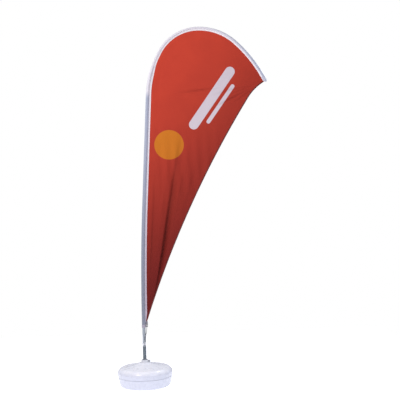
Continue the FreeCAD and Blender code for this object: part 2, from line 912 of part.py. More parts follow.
def leech_edges(offset):
    """The sail's free edge as two tangent arcs from the lower corner to the tip, and their ends.
    Offset moves it into the sail."""
    corner = Vector(mm("corner_x"), 0, mm("corner_z"))
    knee = Vector(mm("leech_x"), 0, mm("leech_z"))
    tip = station(mm("sail_end"), mm("arch_sleeve") + mm("slip_gap"))[0]
    radius = mm("leech_radius")
    lower_centre = arc_centre(corner, knee, radius)
    outward = (lower_centre - knee).normalize()
    reach = tip - knee
    upper_radius = reach.Length ** 2 / (2 * reach.dot(outward))
    upper_centre = knee + outward * upper_radius
    edges = []
    ends = []
    for centre, size, first, last in (
        (lower_centre, radius, corner, knee),
        (upper_centre, upper_radius, knee, tip),
    ):
        rays = [(point - centre).normalize() for point in (first, (first + last) * 0.5, last)]
        points = [centre + ray * (size + offset) for ray in rays]
        edges.append(Part.Arc(*points).toShape())
        ends += [points[0], points[2]]
    return edges, ends[0], ends[-1]


def plate(edges, thickness):
    """A flat solid in the sail's plane, half its thickness on each side of it."""
    outline = Part.Wire(Part.__sortEdges__(edges))
    face = Part.Face(outline)
    face.translate(Vector(0, -thickness / 2, 0))
    return face.extrude(Vector(0, thickness, 0))


def line(first, last):
    return Part.LineSegment(first, last).toShape()


def panel(thickness):
    """Everything between the sleeve's tube and the free edge, as one plate."""
    gap = mm("slip_gap")
    leech, corner, tip = leech_edges(0.0)
    start = mm("corner_z") - FOOT
    foot = line(station(start, mm("sleeve_radius") + gap)[0], corner)
    luff = luff_edges(start, mm("sleeve_radius") + gap, mm("arch_sleeve") + gap)
    return plate(luff + leech + [foot], thickness)


def seam_room(gap):
    """The band beside the sleeve that its own fabric fills, wider by gap on the sail's side."""
    start = mm("corner_z") - FOOT - 20
    wide, slim = mm("sleeve_radius"), mm("arch_sleeve")
    inner = luff_edges(start, wide - 2, slim - 2)
    far_wide, far_slim = wide + mm("seam_width") + gap, slim + mm("arch_seam") + gap
    outer = luff_edges(start, far_wide, far_slim)
    ends = [line(station(start, wide - 2)[0], station(start, far_wide)[0]),
            line(station(mm("sail_end"), slim - 2)[0], station(mm("sail_end"), far_slim)[0])]
    return plate(inner + outer + ends, mm("sail_thick") * 4)


def make_sail():
    """The sail, the white seam strip between it and the sleeve, and the binding of its free edge."""
    whole = panel(mm("sail_thick"))
    shaped("sail", largest(whole.cut(seam_room(mm("slip_gap")))))
    shaped("seam_strip", largest(whole.common(seam_room(0.0))))
    shaped("leech_hem", largest(hem_envelope().cut(panel(mm("sail_thick") + 2 * mm("slip_gap")))))


def largest(shape):
    return max(shape.Solids, key=lambda solid: solid.Volume)


def hem_envelope():
    """The outside of the binding, short of the sleeve."""
    inner, inner_corner, inner_tip = leech_edges(mm("hem_width"))
    outer, outer_corner, outer_tip = leech_edges(-mm("hem_thick"))
    ends = [line(inner_corner, outer_corner), line(inner_tip, outer_tip)]
    envelope = plate(inner + outer + ends, mm("sail_thick") + 2 * mm("hem_thick"))
    pocket_top = mm("pocket_start") - 1
    envelope = envelope.cut(rod(mm("sleeve_start"), mm("sleeve_taper"), mm("sleeve_radius") + 1))
    envelope = envelope.cut(rod(mm("sleeve_narrow"), pocket_top, mm("arch_sleeve") + 1))
    return largest(envelope.cut(rod(pocket_top, mm("pocket_end"), mm("pocket_radius") + 0.1)))


def make_lower_corner():
    """Webbing tab with an eyelet, at the sail's lower corner."""
    left, right = mm("tab_left"), mm("tab_right")
    bottom, top, thick = mm("tab_bottom"), mm("tab_top"), mm("tab_thick")
    tab = Part.makeBox(right - left, thick, top - bottom, Vector(left, -thick / 2, bottom))
    eyelet_at = Vector(mm("eyelet_x"), 0, mm("eyelet_z"))
    along_y = Vector(0, 1, 0)
    barrel = mm("eyelet_hole") + 1.0
    hole = Part.makeCylinder(barrel, thick, eyelet_at - along_y * (thick / 2), along_y)
    edges = [edge for edge in tab.Edges if abs(edge.tangentAt(edge.FirstParameter).y) > 0.9]
    low = [edge for edge in edges if edge.CenterOfMass.z < bottom + 1]
    folded = tab.makeFillet(5.0, low).cut([hole, hem_envelope(), panel(mm("sail_thick"))])
    shaped("corner_tab", largest(folded))
    eyelet = turned(
        "corner_eyelet",
        [
            (cell("eyelet_hole"), -(cell("eyelet_thick") * 0.5)),
            (cell("eyelet_rim"), -(cell("eyelet_thick") * 0.5)),
            (cell("eyelet_rim"), -(cell("tab_thick") * 0.5)),
            (cell("eyelet_hole") + 1.0, -(cell("tab_thick") * 0.5)),
            (cell("eyelet_hole") + 1.0, cell("tab_thick") * 0.5),
            (cell("eyelet_rim"), cell("tab_thick") * 0.5),
            (cell("eyelet_rim"), cell("eyelet_thick") * 0.5),
            (cell("eyelet_hole"), cell("eyelet_thick") * 0.5),
        ],
    )
    keep(eyelet, at(eyelet_at.x, 0, eyelet_at.z, FreeCAD.Rotation(Vector(1, 0, 0), 90)))


# ---------------------------------------------------------------- hook and elastic


def hook_point(radial, tangential, height):
    """A point given from the pole's axis, out along the hook and across it."""
    angle = math.radians(mm("hook_angle"))
    return Vector(
        radial * math.cos(angle) - tangential * math.sin(angle),
        radial * math.sin(angle) + tangential * math.cos(angle),
        height,
    )


def make_hook():
    """Plastic collar on the foot of the pole, with a lug and a lip that the elastic catches under."""
    base, height = mm("hook_base"), mm("hook_height")
    ring_radius, reach, width = mm("hook_ring"), mm("hook_reach"), mm("hook_width")
    shelf = mm("hook_shelf")
    bore_radius = mm("pole_radius") + mm("slip_gap")
    collar = Part.makeCylinder(ring_radius, height, Vector(0, 0, base))
    lug = Part.makeBox(reach - bore_radius, width, mm("hook_lug"), Vector(bore_radius, -width / 2, shelf))
    lip = Part.makeBox(mm("hook_lip"), width, 9, Vector(reach - mm("hook_lip"), -width / 2, shelf - 6))
    hook = lug.fuse(lip).removeSplitter()
    hook.rotate(Vector(0, 0, 0), UP, mm("hook_angle"))
    body = collar.fuse(hook).removeSplitter()
    bore = Part.makeCylinder(bore_radius, height + 2, Vector(0, 0, base - 1))
    rivet_at = base + height / 2
    across = Vector(1, 0, 0)
    rivet = Part.makeCylinder(1.6, 6.0, Vector(-ring_radius - 1.0, 0, rivet_at), across)
    shaped("tension_hook", body.cut(bore).cut(rivet))
    head = Part.makeSphere(3.2, Vector(-ring_radius + 1.6, 0, rivet_at))
    head = head.cut(Part.makeCylinder(ring_radius, height, Vector(0, 0, base)))
    wall_room = Part.makeCylinder(bore_radius, height, Vector(0, 0, base))
    shaped("hook_rivet", rivet.fuse(head).cut(wall_room).removeSplitter())


def rounded_path(points):
    """Straight runs joined by tangent arcs, each as large as 0.45 of its shorter run allows."""
    edges = []
    radii = []
    start = points[0]
    for before, corner, after in zip(points, points[1:], points[2:]):
        back, ahead = before - corner, after - corner
        turn = math.pi - back.getAngle(ahead)
        trim = 0.45 * min(back.Length, ahead.Length)
        radius = trim / math.tan(turn / 2)
        back.normalize()
        ahead.normalize()
        first, last = corner + back * trim, corner + ahead * trim
        bisector = (back + ahead).normalize()
        middle = corner + bisector * (radius / math.cos(turn / 2) - radius)
        edges.append(line(start, first))
        edges.append(Part.Arc(first, middle, last).toShape())
        radii.append(radius)
        start = last
    edges.append(line(start, points[-1]))
    return edges, radii


def make_elastic():
    """Elastic loop: up from its knot under the hook, through the eyelet and back down."""
    side = mm("eyelet_thick") / 2 + mm("elastic_radius") + 0.9
    grip = (mm("hook_ring") + mm("hook_reach") - mm("hook_lip")) / 2
    eye_x, eye_z = mm("eyelet_x"), mm("eyelet_z") - 1.6
    route = [
        hook_point(grip, -6.5, mm("knot_height") + 6),
        hook_point(grip, -6.5, mm("knot_height") + 46),
        Vector(eye_x, -side, eye_z - 60),
        Vector(eye_x, -side, eye_z),
        Vector(eye_x, side, eye_z),
        Vector(eye_x, side, eye_z - 60),
        hook_point(grip, 6.5, mm("knot_height") + 46),
        hook_point(grip, 6.5, mm("knot_height") + 6),
    ]
    edges, radii = rounded_path(route)
    radius = mm("elastic_radius")
    path = Part.Wire(edges)
    section = Part.Wire(Part.makeCircle(radius, route[0], route[1] - route[0]))
    solid = path.makePipeShell([section], True, False)
    expected = math.pi * radius ** 2 * path.Length
    print("elastic", round(path.Length, 1), "mm, bends", [round(value, 1) for value in radii],
          "volume ratio", round(solid.Volume / expected, 4))
    shaped("elastic_cord", solid)
    low, knot = mm("knot_height"), mm("knot_radius")
    left, right = hook_point(grip, -6.5, low), hook_point(grip, 6.5, low)
    bar = Part.makeCylinder(knot, (right - left).Length, left, right - left)
    ends = [Part.makeSphere(knot, left), Part.makeSphere(knot, right)]
    stubs = [Part.makeCylinder(radius + 0.4, 6, point) for point in (left, right)]
    shaped("elastic_knot", bar.fuse(ends + stubs).removeSplitter())


# ---------------------------------------------------------------- the whole


def main():
    make_base_tank()
    make_ballast()
    make_filler_cap()
    make_socket()
    make_lock_screw()
    make_axle()
    make_bearing("lower", lower_race.number)
    make_bearing("upper", upper_race.number)
    make_rotor()
    make_pole()
    make_sleeve()
    make_sail()
    make_lower_corner()
    make_hook()
    make_elastic()
    doc.recompute()
    for item in doc.Objects:
        if "Invalid" in item.State or "Error" in item.State:
            raise RuntimeError(f"{item.Name} failed: {item.State}")
    os.makedirs("parts", exist_ok=True)
    for old in os.listdir("parts"):
        os.remove(os.path.join("parts", old))
    for item in subparts:
        shape = item.Shape
        if shape.isNull() or not shape.isValid() or not shape.Solids:
            raise RuntimeError(f"{item.Label} has no valid solid")
        shape.exportStep(os.path.join("parts", item.Label + ".step"))
        box = shape.optimalBoundingBox(False)
        print(f"{item.Label:18s} {len(shape.Solids):2d} solids  {shape.Volume:12.1f} mm3  "
              f"x {box.XMin:8.1f}..{box.XMax:8.1f}  y {box.YMin:7.1f}..{box.YMax:7.1f}  "
              f"z {box.ZMin:7.1f}..{box.ZMax:7.1f}")


main()
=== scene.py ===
"""Teardrop flag on a water-filled base: its cloth, cords, tank and finishes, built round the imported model.

Everything is in metres, in the model's own frame: +Z up, the flag in the XZ plane, its free edge on the
+X side.  The pole's centreline is a chain of straight runs and tangent arcs, and a station is a distance
along it from the pole's foot.
"""
import math
from functools import partial
import bpy
import numpy as np
from mathutils import Matrix, Vector


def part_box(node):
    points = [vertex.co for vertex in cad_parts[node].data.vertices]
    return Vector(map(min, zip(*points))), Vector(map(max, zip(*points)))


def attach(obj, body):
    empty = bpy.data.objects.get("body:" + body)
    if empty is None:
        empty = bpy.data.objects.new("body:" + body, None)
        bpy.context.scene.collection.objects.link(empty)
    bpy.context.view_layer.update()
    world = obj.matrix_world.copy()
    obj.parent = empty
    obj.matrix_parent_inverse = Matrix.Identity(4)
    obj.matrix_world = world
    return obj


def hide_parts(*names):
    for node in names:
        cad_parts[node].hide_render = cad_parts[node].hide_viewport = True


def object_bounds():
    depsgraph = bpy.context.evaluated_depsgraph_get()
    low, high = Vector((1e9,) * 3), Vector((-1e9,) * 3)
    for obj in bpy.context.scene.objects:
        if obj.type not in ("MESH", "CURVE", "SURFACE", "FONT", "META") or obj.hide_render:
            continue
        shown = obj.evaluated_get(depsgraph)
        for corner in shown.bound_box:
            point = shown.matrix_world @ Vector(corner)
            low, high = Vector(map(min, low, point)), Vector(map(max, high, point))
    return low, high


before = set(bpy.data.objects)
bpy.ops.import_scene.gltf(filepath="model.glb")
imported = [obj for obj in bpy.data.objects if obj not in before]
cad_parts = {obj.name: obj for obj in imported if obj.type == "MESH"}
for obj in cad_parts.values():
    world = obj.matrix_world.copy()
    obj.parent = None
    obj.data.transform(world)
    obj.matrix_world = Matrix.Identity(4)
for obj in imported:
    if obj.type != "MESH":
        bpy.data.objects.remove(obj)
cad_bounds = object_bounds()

MM = 0.001
TURN = 2 * math.pi

# ---------------------------------------------------------------- the flag's driving sizes

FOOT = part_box("pole_section_1")[0].z
# each run of the pole's centreline: its length, and the degrees that it turns through
CENTRELINE = ((0.120, 0.0), (1.055, 3.6), (0.875, 0.0), (0.366, 26.4), (0.394, 61.7), (0.329, 41.8),
              (0.411, 21.2))
SLEEVE_START, SLEEVE_END = 0.154, 3.538
SAIL_TOP, SAIL_TIP, POLE_END = 3.536, 3.540, 3.550
ALUMINIUM_END = 2.064
TAPER_START, TAPER_END = 2.200, 2.340
WIDE, SLIM = 15 * MM, 10.5 * MM
SEAM_WIDE, SEAM_SLIM = 14 * MM, 10.5 * MM
SLEEVE_CLOTH = 0.6 * MM
SAIL_CLOTH = 0.5 * MM
HEM_WIDTH = 8 * MM
STITCH_PITCH = 4.6 * MM
CORD_RADIUS = 1.5 * MM
EYELET_RADIUS = 5 * MM
GROOVE_HEIGHT = 80.5 * MM
LEECH_CORNER = np.array([0.018, 0.490])
LEECH_KNEE = np.array([0.905, 2.314])
LEECH_RADIUS = 8.2
LEECH_LENGTH = 2.2


def smoothstep(value, low=0.0, high=1.0):
    share = np.clip((value - low) / (high - low), 0.0, 1.0)
    return share * share * (3 - 2 * share)


def pole_line(stations):
    """x, z and heading at each station.  Along an arc of radius R, x grows by R(cos h0 - cos h1) and z by
    R(sin h1 - sin h0) as the heading turns from h0 to h1."""
    stations = np.asarray(stations, float)
    x, z, heading = np.zeros_like(stations), np.full_like(stations, FOOT), np.zeros_like(stations)
    passed = 0.0
    for length, degrees in CENTRELINE:
        inside = np.clip(stations - passed, 0.0, length)
        if degrees:
            radius = length / math.radians(degrees)
            ahead = heading + inside / radius
            x = x + radius * (np.cos(heading) - np.cos(ahead))
            z = z + radius * (np.sin(ahead) - np.sin(heading))
            heading = ahead
        else:
            x = x + inside * np.sin(heading)
            z = z + inside * np.cos(heading)
        passed += length
    return x, z, heading


def beside_pole(stations, offset):
    """Points at an offset from the centreline towards the sail, as x and z."""
    x, z, heading = pole_line(stations)
    return x + offset * np.cos(heading), z - offset * np.sin(heading)


def sleeve_radius(stations):
    return WIDE + (SLIM - WIDE) * smoothstep(stations, TAPER_START, TAPER_END)


def seam_width(stations):
    return SEAM_WIDE + (SEAM_SLIM - SEAM_WIDE) * smoothstep(stations, TAPER_START, TAPER_END)


def arc_points(centre, radius, first, last, shares):
    """Points on a circle from the direction of first to that of last, as x and z, and the arc's length."""
    start, end = (math.atan2(*(point - centre)[::-1]) for point in (first, last))
    sweep = (end - start + math.pi) % TURN - math.pi
    angle = start + sweep * shares
    return centre[0] + radius * np.cos(angle), centre[1] + radius * np.sin(angle), abs(sweep) * radius


def leech_line(shares, offset=0.0):
    """The sail's hollow free edge as two tangent arcs, at shares of its length from corner to tip."""
    tip = np.array(beside_pole(SAIL_TIP, SLIM))
    chord = LEECH_KNEE - LEECH_CORNER
    outward = np.array([chord[1], -chord[0]]) / np.hypot(*chord)
    depth = math.sqrt(LEECH_RADIUS ** 2 - (np.hypot(*chord) / 2) ** 2)
    lower_centre = (LEECH_CORNER + LEECH_KNEE) / 2 + outward * depth
    to_centre = (lower_centre - LEECH_KNEE) / LEECH_RADIUS
    reach = tip - LEECH_KNEE
    upper_radius = reach @ reach / (2 * reach @ to_centre)
    upper_centre = LEECH_KNEE + to_centre * upper_radius
    lower_length = arc_points(lower_centre, LEECH_RADIUS, LEECH_CORNER, LEECH_KNEE, 0.0)[2]
    upper_length = arc_points(upper_centre, upper_radius, LEECH_KNEE, tip, 0.0)[2]
    along = np.asarray(shares, float) * (lower_length + upper_length)
    beyond = (along - lower_length) / upper_length
    lower = arc_points(lower_centre, LEECH_RADIUS + offset, LEECH_CORNER, LEECH_KNEE, along / lower_length)
    upper = arc_points(upper_centre, upper_radius + offset, LEECH_KNEE, tip, beyond)
    on_lower = along < lower_length
    return np.where(on_lower, lower[0], upper[0]), np.where(on_lower, lower[1], upper[1])


def distance_from_pole(x, z):
    """How far each point is from the centreline, over samples 8 mm apart."""
    pole_x, pole_z = pole_line(np.arange(0.0, POLE_END, 8 * MM))[:2]
    nearest = np.full_like(x, np.inf)
    for sample_x, sample_z in zip(pole_x, pole_z):
        nearest = np.minimum(nearest, (x - sample_x) ** 2 + (z - sample_z) ** 2)
    return np.sqrt(nearest)


# ---------------------------------------------------------------- how the sail hangs

# each fold runs up from the lower corner: direction in degrees from upright, half width in degrees,
# depth, and the distances from the corner where it starts, is deepest and ends
CORNER_FOLDS = (
    (5.2, 1.1, 7 * MM, 0.20, 0.75, 1.45),
    (8.8, 1.0, -7 * MM, 0.35, 1.00, 1.55),
    (12.3, 1.3, 26 * MM, 0.10, 0.66, 1.74),
    (15.6, 1.0, 4 * MM, 0.70, 1.15, 1.45),
    (18.8, 0.9, 3 * MM, 0.85, 1.20, 1.50),
    (22.0, 0.9, -6 * MM, 0.80, 1.20, 1.70),
)
# each crease runs from the tip: direction in degrees below level, half width, depth, and where it runs
TIP_CREASES = (
    (5.9, 9 * MM, 8.0 * MM, 0.34, 0.54, 0.74),
    (12.5, 9 * MM, 5.0 * MM, 0.06, 0.30, 0.46),
    (19.0, 9 * MM, 3.5 * MM, 0.05, 0.18, 0.40),
    (25.5, 9 * MM, 8.0 * MM, 0.10, 0.31, 0.48),
    (33.0, 10 * MM, 4.0 * MM, 0.05, 0.20, 0.40),
    (44.0, 9 * MM, -2.5 * MM, 0.03, 0.12, 0.26),
)


def rise_and_fall(distance, start, middle, end):
    return smoothstep(distance, start, middle) * (1 - smoothstep(distance, middle, end))


def sail_folds(x, z):
    """Depth and painted shade of the folds.  A fold from the lower corner leans over by 10.7 degrees times
    exp(-distance / 0.385 m), and is a valley with a steep wall on the pole's side and a gentle one beyond;
    a crease from the tip is a narrow even valley.  The painted shade darkens the cloth along the steep wall."""
    tip_x, tip_z = leech_line(1.0)
    out, up = x - LEECH_CORNER[0], z - LEECH_CORNER[1]
    from_corner = np.hypot(out, up)
    lean = np.degrees(np.arctan2(out, up))
    bend = 1 + 0.888 * np.exp(-from_corner / 0.385)
    depth, shade = np.zeros_like(x), np.zeros_like(x)
    for direction, half_width, height, start, middle, end in CORNER_FOLDS:
        across = (lean - direction * bend) / half_width
        across = np.where(across < 0, across / 0.6, across / 1.7)
        run = rise_and_fall(from_corner, start, middle, end)
        depth = depth + height * np.exp(-across ** 2) * run
        shade = shade + max(height, 0) / (26 * MM) * np.exp(-(across + 0.35) ** 2 / 0.8) * run
    from_tip = np.hypot(tip_x - x, tip_z - z)
    fall = np.degrees(np.arctan2(tip_z - z, tip_x - x))
    for direction, half_width, height, start, middle, end in TIP_CREASES:
        across = np.radians(fall - direction) * from_tip / half_width
        run = rise_and_fall(from_tip, start, middle, end)
        depth = depth + height * np.exp(-across ** 2) * run
        shade = shade + max(height, 0) / (16 * MM) * np.exp(-across ** 2 / 0.6) * run
    return depth, np.clip(shade, 0.0, 1.0)


def sail_depth(x, z):
    """The cloth's y: a shallow belly, folds and creases, and soft drapes between.  It is level where the
    cloth is sewn to the sleeve."""
    depth = 14 * MM * np.exp(-((x - 0.46) / 0.30) ** 2 - ((z - 2.25) / 0.45) ** 2)
    depth = depth - 8 * MM * np.exp(-((x - 0.22) / 0.16) ** 2 - ((z - 1.35) / 0.40) ** 2)
    depth = depth + sail_folds(x, z)[0]
    drapes = np.sin(x * TURN / 0.085 + 1.3 * np.sin(z * 4)) * 3.2 * MM
    depth = depth + drapes * np.exp(-((z - 1.72) / 0.26) ** 2) * smoothstep(x, 0.10, 0.20)
    sleeve_edge = WIDE + SEAM_WIDE
    return depth * smoothstep(distance_from_pole(x, z), sleeve_edge - 8 * MM, sleeve_edge + 60 * MM)


# ---------------------------------------------------------------- meshes


def grid_faces(rows, columns, closed_rows=False, closed_columns=False):
    """Quads over a grid of rows times columns points, that join up again where it is closed."""
    row = np.arange(rows if closed_rows else rows - 1)
    column = np.arange(columns if closed_columns else columns - 1)
    here, there = np.meshgrid(row, column, indexing="ij")
    next_row, next_column = (here + 1) % rows, (there + 1) % columns
    corners = [here * columns + there, here * columns + next_column,
               next_row * columns + next_column, next_row * columns + there]
    return np.stack(corners, axis=-1).reshape(-1, 4)


def fan(centre, ring):
    """Triangles from one point to a closed ring of points."""
    return np.stack([np.full(len(ring), centre), ring, np.roll(ring, -1)], axis=-1)


def capped_tube(rows, around):
    """Quads round a tube, and a fan from each of its ends to one more point."""
    count, ring = rows * around, np.arange(around)
    return [grid_faces(rows, around, closed_columns=True), fan(count, ring[::-1]),
            fan(count + 1, count - around + ring)]


def whole_turn(count):
    return np.arange(count) * TURN / count


def in_pairs(first, second):
    """Both numbers at every point of the grid that the two arrays span."""
    return np.stack(np.broadcast_arrays(first, second), axis=-1)


def running_length(points):
    """How far each point is along its line."""
    return np.concatenate([[0.0], np.cumsum(np.linalg.norm(np.diff(points, axis=0), axis=1))])


def show(name, data):
    """A new object of the scene for a mesh, curve, lamp or camera."""
    made = bpy.data.objects.new(name, data)
    bpy.context.scene.collection.objects.link(made)
    return made


def worked_out(piece):
    """A new mesh of what the piece's modifiers, or its curve, give."""
    bpy.context.view_layer.update()
    return bpy.data.meshes.new_from_object(piece.evaluated_get(bpy.context.evaluated_depsgraph_get()))


def make_piece(name, points, faces, material, replaces=(), slot=None, uv=None, values=None, body="pole"):
    """A smooth mesh object from points and groups of faces, riding on a body."""
    mesh = bpy.data.meshes.new(name)
    listed = [face for group in faces for face in np.asarray(group).tolist()]
    mesh.from_pydata(np.asarray(points, float).reshape(-1, 3).tolist(), [], listed)
    mesh.polygons.foreach_set("use_smooth", np.ones(len(mesh.polygons), bool))
    if uv is not None:
        corners = np.empty(len(mesh.loops), np.int32)
        mesh.loops.foreach_get("vertex_index", corners)
        layer = mesh.uv_layers.new(name="cloth")
        layer.uv.foreach_set("vector", np.asarray(uv, np.float32).reshape(-1, 2)[corners].ravel())
    for label, numbers in (values or {}).items():
        attribute = mesh.attributes.new(label, "FLOAT", "POINT")
        attribute.data.foreach_set("value", np.asarray(numbers, np.float32).ravel())
    mesh.materials.append(material)
    mesh.validate()
    mesh.update()
    piece = show(name, mesh)
    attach(piece, body)
    if replaces:
        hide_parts(*replaces)
    return piece


def solidify(piece, thickness):
    """Gives the cloth its thickness, inwards from its mesh."""
    modifier = piece.modifiers.new("wall", "SOLIDIFY")
    modifier.thickness, modifier.offset, modifier.use_even_offset = thickness, -1.0, True
    return piece


def along_pole(stations, across, sideways):
    """Points beside the centreline: across is towards the sail and sideways is along y."""
    x, z, heading = (value[:, None] for value in pole_line(stations))
    across, sideways = np.broadcast_arrays(across, sideways)
    return np.stack([x + across * np.cos(heading), sideways + 0 * x, z - across * np.sin(heading)], axis=-1)


def rounded_profile(corners, step):
    """A polyline of (radius, height, fillet) corners with each fillet an arc, sampled every step or so."""
    corners = [np.array(corner, float) for corner in corners]
    line = [corners[0][:2]]
    for before, corner, after in zip(corners, corners[1:], corners[2:]):
        back, ahead = before[:2] - corner[:2], after[:2] - corner[:2]
        back_length, ahead_length = np.hypot(*back), np.hypot(*ahead)
        back, ahead = back / back_length, ahead / ahead_length
        half = math.acos(np.clip(back @ ahead, -1.0, 1.0)) / 2
        trim = min(corner[2] / math.tan(half), 0.49 * back_length, 0.49 * ahead_length)
        radius = trim * math.tan(half)
        bisector = (back + ahead) / np.hypot(*(back + ahead))
        centre = corner[:2] + bisector * radius / math.sin(half)
        first, last = corner[:2] + back * trim, corner[:2] + ahead * trim
        line += list(np.stack(arc_points(centre, radius, first, last, np.linspace(0, 1, 9))[:2], axis=-1))
    line.append(corners[-1][:2])
    line = np.array(line)
    lengths = np.hypot(*np.diff(line, axis=0).T)
    pieces = [np.linspace(start, end, max(1, round(length / step)), endpoint=False)
              for start, end, length in zip(line[:-1], line[1:], lengths) if length > 1e-6]
    return np.concatenate(pieces + [line[-1:]])


def revolve(profile, segments):
    """Points of a profile of (radius, height) turned about the z axis, one row for each profile point."""
    angle = whole_turn(segments)
    radius, height = profile[:, :1], profile[:, 1:]
    return np.stack([radius * np.cos(angle), radius * np.sin(angle), height + 0 * angle], axis=-1)


# ---------------------------------------------------------------- materials

# the plain print on the sail: a disc, and a pair of slanted bars with round ends, each as its shift
# across the pair, half its length and half its width
DISC_CENTRE = (0.250, 0.0, 1.950)
DISC_RADIUS = 120 * MM
BAR_CENTRE = (0.610, 0.0, 2.320)
BAR_LEAN = math.radians(54)
BARS = ((0.0, 300 * MM, 40 * MM), (-85 * MM, 190 * MM, 16 * MM))
PRINT_EDGE = 1 * MM
# a wave pattern repeats every 2 pi / 20 at scale 1
WAVE_REPEAT = TURN / 20


def linear(hex_colour):
    """sRGB hex to linear red, green, blue and alpha."""
    values = np.array([int(hex_colour[index:index + 2], 16) for index in (1, 3, 5)]) / 255
    bright = np.where(values <= 0.04045, values / 12.92, ((values + 0.055) / 1.055) ** 2.4)
    return (*bright.tolist(), 1.0)


def add_node(tree, kind, *inputs, **given):
    """Adds one node, and a Mix node mixes colours.  Its working inputs are filled in order, and then by
    name: a name with a capital is an input, with _ for each space, and one in small letters is a setting.
    A value is plain, a hex colour, a socket to link from, or a node, which stands for its first working
    output."""
    made = tree.nodes.new("ShaderNode" + kind)
    if kind == "Mix":
        made.data_type = "RGBA"
    for name in [name for name in given if name.islower()]:
        setattr(made, name, given.pop(name))
    sockets = [socket for socket in made.inputs if socket.enabled][:len(inputs)]
    sockets += [made.inputs[name.replace("_", " ")] for name in given]
    for socket, value in zip(sockets, [*inputs, *given.values()]):
        if isinstance(value, bpy.types.Node):
            value = next(output for output in value.outputs if output.enabled)
        if isinstance(value, bpy.types.NodeSocket):
            tree.links.new(value, socket)
        else:
            socket.default_value = linear(value) if isinstance(value, str) else value
    return made


def begin_finish(name):
    """An empty material, what adds nodes to it, and the piece's own coordinates in metres."""
    material = bpy.data.materials.new(name)
    material.use_nodes = True
    material.node_tree.nodes.clear()
    add = partial(add_node, material.node_tree)
    return material, add, add("TexCoord").outputs["Object"]


def complete_finish(material, colour, roughness, relief=None, **inputs):
    """The shader with its inputs, and the material's output.  Relief raises the surface by a pattern, and
    is the pattern, its depth and its strength."""
    add = partial(add_node, material.node_tree)
    if relief:
        height, depth, strength = relief
        inputs["Normal"] = add("Bump", Height=height, Distance=depth, Strength=strength)
    add("OutputMaterial", add("BsdfPrincipled", Base_Color=colour, Roughness=roughness, **inputs))
    return material


def patches(add, point, size, detail, *limits):
    """Cloudy patches about this size: noise, spread from its own low and high to the limits' own."""
    return add("MapRange", add("TexNoise", point, 1 / size, detail), *limits)


def mottled(name, size, dark, light, roughness, **inputs):
    """A finish of two close shades in soft patches, with no relief."""
    material, add, point = begin_finish(name)
    colour = add("Mix", add("TexNoise", point, 1 / size, 3.0), dark, light)
    return complete_finish(material, colour, roughness, **inputs)


def cloth_weave(add, spacing):
    """Crossing threads over the cloth's own flat coordinates, as one height."""
    flat = add("UVMap", uv_map="cloth")
    warp, weft = (add("TexWave", flat, WAVE_REPEAT / spacing, bands_direction=direction).outputs["Fac"]
                  for direction in "XY")
    return add("Math", warp, weft, operation="MAXIMUM")


def polyester_flag_cloth():
    """Warp-knitted polyester, dye-printed: matt with a faint sheen, a plain disc and bars printed on it, painted
    shade darkening its folds, and painted light and shade, lighter at the upper left and darker towards the
    bottom and the free edge.  Its 0.6 mm stitches are drawn 2.4 mm apart, because finer ones are lost."""
    material, add, point = begin_finish("dyed_knitted_polyester")
    weave = cloth_weave(add, 2.4 * MM)
    axes = add("SeparateXYZ", point)
    inward = add("Math", axes.outputs["X"], 0.9, operation="MULTIPLY")
    height = add("Math", axes.outputs["Z"], inward, operation="SUBTRACT")
    # Painted light and shade: the ink runs from dark at the bottom and the free edge to light at the upper left.
    painted_light_fade = add("MapRange", height, 0.40, 2.45, interpolation_type="SMOOTHSTEP")
    ink = add("Mix", painted_light_fade, "#590c0b", "#c6402c")
    blotch = patches(add, point, 160 * MM, 4.0, 0.3, 0.7, 0.0, 0.16)
    ink = add("Mix", blotch, ink, "#8f2320")
    level = add("VectorMath", point, (1, 0, 1), operation="MULTIPLY")
    from_disc = add("VectorMath", level, DISC_CENTRE, operation="DISTANCE")
    disc = add("MapRange", from_disc, DISC_RADIUS - PRINT_EDGE, DISC_RADIUS + PRINT_EDGE, 1.0, 0.0)
    # Painted light and shade: the disc's amber is darker low down and lighter high up, as the ink is.
    amber = add("Mix", painted_light_fade, "#a85a12", "#d07a1e")
    ink = add("Mix", disc, ink, amber)
    for bar in BARS:
        ink = add("Mix", printed_bar(add, level, *bar), ink, "#cfc5ce")
    threads = add("MapRange", weave, 0.2, 1.0, 0.90)
    # Painted shade: fold_shade darkens the cloth's colour by up to 40 percent along its folds and creases.
    folded = add("Attribute", attribute_name="fold_shade").outputs["Fac"]
    shaded = add("MapRange", folded, 0.0, 1.0, 1.0, 0.60)
    value = add("Math", threads, shaded, operation="MULTIPLY")
    colour = add("HueSaturation", Color=ink, Value=value)
    return complete_finish(material, colour, 0.72, (weave, 0.12 * MM, 0.35), IOR=1.46,
                           Specular_IOR_Level=0.22, Sheen_Weight=0.06, Sheen_Roughness=0.45, Sheen_Tint="#ffb9a6")


def printed_bar(add, level, shift, half_length, half_width):
    """1 inside a bar with round ends: the distance from its middle line is less than its half width."""
    turned = add("Mapping", level, BAR_CENTRE, (0.0, -BAR_LEAN, 0.0), vector_type="TEXTURE")
    axes = add("SeparateXYZ", turned)
    along = add("Math", axes.outputs["X"], operation="ABSOLUTE")
    past_end = add("Math", along, half_length - half_width, operation="SUBTRACT")
    beyond = add("Math", past_end, 0.0, operation="MAXIMUM")
    across = add("Math", axes.outputs["Z"], shift, operation="SUBTRACT")
    reach = add("VectorMath", add("CombineXYZ", beyond, across), operation="LENGTH")
    return add("MapRange", reach, half_width - PRINT_EDGE, half_width + PRINT_EDGE, 1.0, 0.0)


